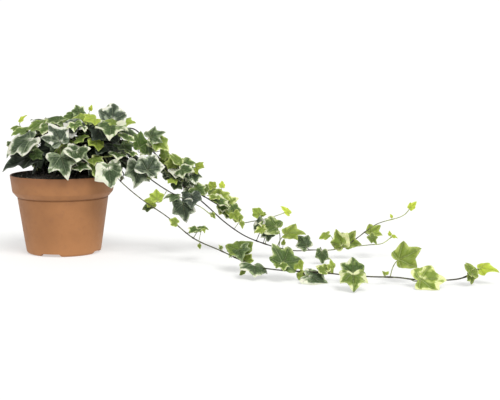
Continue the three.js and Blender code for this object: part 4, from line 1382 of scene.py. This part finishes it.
def bark_material():
    """A stem's skin: brown where it is old and green where it is young, with fine streaks."""
    g = Graph("ivy_stem")
    along, _, _ = g.attribute("place")
    age, _, _ = g.attribute("kind")
    place = g.object_place()
    patch, grain = g.noise(place, SKIN.patch_scale), g.noise(place, SKIN.grain_scale)
    aged = g.plus(age, g.swing(patch, SKIN.uneven))
    base = g.layer(g.ramp(aged, SKIN.by_age), grain, *SKIN.streaks)
    ring = g.math("SINE", g.times(along, SKIN.rings_per_metre))
    relief = g.plus(grain, g.times(ring, SKIN.ring_relief))
    return g.finish({"Base Color": base, "Roughness": 0.62}, relief, distance=0.0002)


def leaf_sockets(g):
    """Where a point is on its blade, and the looks of the leaf it belongs to."""
    across, along, edge = g.attribute("place")
    tone, own, cream = g.attribute("kind")
    offset = g.times(own, PATTERN.between_leaves)
    reach = g.node("VectorMath", {0: g.vector(across, along, 0.0)}, operation="LENGTH").outputs["Value"]
    return Values(
        across=across, along=along, edge=edge, tone=tone, own=own, cream=cream, offset=offset,
        reach=reach, angle=g.math("ARCTAN2", across, along), spot=g.vector(across, along, offset),
    )


def leaf_patches(g, leaf):
    """The cream margin and the grey-green band inside it, each 1 where it is and 0 elsewhere."""
    patch = g.noise(leaf.spot, PATTERN.patch_scale)
    fleck = g.noise(leaf.spot, PATTERN.fleck_scale, detail=4)
    rays = g.vector(g.times(leaf.angle, PATTERN.rays), leaf.reach, leaf.offset)
    streak = g.noise(rays, PATTERN.streak_scale, detail=4, roughness=0.65)
    ragged = g.plus(g.swing(streak, PATTERN.streak), g.swing(patch, PATTERN.patch))
    uneven = g.noise(leaf.spot, PATTERN.uneven_scale, detail=1)
    uneven = g.level(uneven, *PATTERN.uneven_noise, *PATTERN.uneven)
    lopsided = g.times(g.swing(leaf.own, PATTERN.lopsided), leaf.across)
    usual = g.linear(leaf.tone, PATTERN.margin_by_tone, PATTERN.margin)
    usual = g.times(usual, g.linear(leaf.cream, *PATTERN.margin_by_cream))
    width = g.times(usual, g.math("MAXIMUM", g.plus(uneven, lopsided), PATTERN.narrowest))
    inner_limit = g.math("SUBTRACT", width, PATTERN.soft_edge)
    margin = g.level(g.plus(leaf.edge, ragged), inner_limit, width, 1, 0)
    near, far = PATTERN.middle_band
    inner = g.plus(leaf.edge, g.swing(fleck, PATTERN.fleck))
    return margin, g.level(inner, g.plus(width, near), g.plus(width, far), 1, 0)


def leaf_veins(g, leaf):
    """The main veins, the side veins, and how far a point is from its nearest main vein."""
    angle = g.math("ABSOLUTE", leaf.angle)
    nearest, *others = [g.apart(angle, math.radians(lobe)) for lobe in LOBE_ANGLES]
    for other in others:
        nearest = g.math("MINIMUM", nearest, other)
    aside = g.times(leaf.reach, g.math("SINE", nearest))
    ahead = g.times(leaf.reach, g.math("COSINE", nearest))
    thin = g.linear(leaf.reach, -VEIN.taper, VEIN.width)
    main = g.level(aside, g.times(thin, VEIN.core), thin, 1, 0)
    lean = g.math("SUBTRACT", ahead, g.times(aside, VEIN.side_slope))
    saw = g.math("FRACT", g.times(lean, VEIN.sides_per_unit))
    side = g.level(g.apart(saw, 0.5), *VEIN.side_width)
    return main, g.times(side, g.level(leaf.edge, *VEIN.side_end)), aside


def leaf_material(name, underside):
    """A variegated leaf: a dark middle, grey-green patches, a ragged cream margin and pale veins."""
    g = Graph(name)
    leaf = leaf_sockets(g)
    margin, middle = leaf_patches(g, leaf)
    main, side, aside = leaf_veins(g, leaf)
    dark, between, cream, vein = (
        g.ramp(leaf.tone, tuple(zip(TONES, LEAF_COLOURS[part])))
        for part in ("dark", "middle", "margin", "vein")
    )
    base = g.mix(middle, dark, between)
    by_vein = g.level(aside, *VEIN.shadow_reach, VEIN.shadow, 0)
    base = g.mix(by_vein, base, g.mix(1.0, dark, VEIN.shadow_colour, "MULTIPLY"))
    base = g.mix(margin, base, cream)
    clear = g.linear(margin, -VEIN.lost_in_cream, VEIN.strength)
    base = g.mix(g.times(main, clear), base, vein)
    base = g.mix(g.times(side, g.times(clear, VEIN.side_strength)), base, vein)
    if underside:
        base = g.mix(UNDERSIDE.share, base, UNDERSIDE.colour)
    value = g.linear(leaf.own, *PATTERN.brightness)
    # painted shade: a leaf whose cream is below 0 is darkened
    value = g.linear(g.math("MINIMUM", leaf.cream, 0.0), PATTERN.shade, value)
    base = g.node("HueSaturation", {"Color": base, "Value": value}).outputs["Color"]
    grain = g.noise(leaf.spot, PATTERN.grain_scale, detail=2)
    relief = g.plus(g.times(side, VEIN.side_relief), g.times(grain, PATTERN.grain_relief))
    relief = g.plus(main, relief) if underside else g.math("SUBTRACT", relief, main)
    inputs = {
        "Base Color": base, "Roughness": g.level(grain, *PATTERN.roughness), "Specular IOR Level": 0.3,
        "Subsurface Weight": 0.12, "Subsurface Radius": (0.6, 1.0, 0.3), "Subsurface Scale": 0.001,
    }
    return g.finish(inputs, relief, distance=0.0003, strength=0.8)


# ---------------------------------------------------------------- stage


def aimed(name, data, place, target=(0, 0, 0)):
    """A lamp or a camera at a place, looking at its target."""
    made = in_scene(name, data)
    made.location = place
    way = Vector(target) - Vector(place)
    made.rotation_euler = way.to_track_quat("-Z", "Y").to_euler()
    return made


def add_sun():
    lamp = bpy.data.lights.new("sun", "SUN")
    lamp.energy = SUN.power
    lamp.angle = math.radians(SUN.softness)
    aimed("sun", lamp, SUN.place)


def add_camera():
    camera = bpy.data.cameras.new("camera")
    camera.sensor_width = CAMERA.sensor
    camera.lens = CAMERA.lens
    bpy.context.scene.camera = aimed("camera", camera, CAMERA.place, CAMERA.target)


def add_floor():
    g = Graph("pale_floor")
    grain = g.noise(g.object_place(), scale=4)
    inputs = {
        "Base Color": FLOOR.colour, "Roughness": 0.9,
        "Emission Color": (1, 1, 1, 1), "Emission Strength": FLOOR.glow,
    }
    material = g.finish(inputs, grain, distance=0.0001, strength=0.1)
    half = FLOOR.size / 2
    mesh = bpy.data.meshes.new("floor")
    corners = [(-half, -half, 0), (half, -half, 0), (half, half, 0), (-half, half, 0)]
    mesh.from_pydata(corners, [], [(0, 1, 2, 3)])
    mesh.materials.append(material)
    floor = in_scene("floor", mesh)


def add_world():
    world = bpy.data.worlds.new("studio")
    world.use_nodes = True
    nodes, links = world.node_tree.nodes, world.node_tree.links
    way, parts, light = (nodes.new("ShaderNode" + kind) for kind in ("TexCoord", "SeparateXYZ", "MapRange"))
    limits = {"From Min": SKY.start, "From Max": SKY.end, "To Min": SKY.low, "To Max": SKY.high}
    for key, value in limits.items():
        light.inputs[key].default_value = value
    nodes["Background"].inputs["Color"].default_value = (1, 1, 1, 1)
    links.new(way.outputs["Generated"], parts.inputs["Vector"])
    links.new(parts.outputs["Z"], light.inputs["Value"])
    links.new(light.outputs["Result"], nodes["Background"].inputs["Strength"])
    bpy.context.scene.world = world


# ---------------------------------------------------------------- assembly


def placed(piece, node):
    """Puts a piece in the place of its solid."""
    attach(piece, "root")
    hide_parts(node)


def main():
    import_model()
    placed(make_pot(pot_material()), "pot")
    placed(make_soil(soil_material()), "soil")
    ivy = [bark_material(), leaf_material("ivy_leaf", False), leaf_material("ivy_leaf_under", True)]
    stems = dict(STEMS)
    draw = seeded_random(BACK.seed)
    chance = np.random.default_rng(BACK.seed)
    for i, sector in enumerate(BACK.sectors):
        stems[f"shoot_back_{i + 1}"] = back_shoot(sector, draw, chance)
    fill_crown(stems)
    for seed, (name, stem) in enumerate(stems.items()):
        placed(make_leafy_stem(name + "_fine", stem, ivy, seed), name)
    add_floor()
    add_world()
    add_sun()
    add_camera()
    bpy.context.scene.view_settings.view_transform = "Standard"
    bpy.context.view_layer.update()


main()
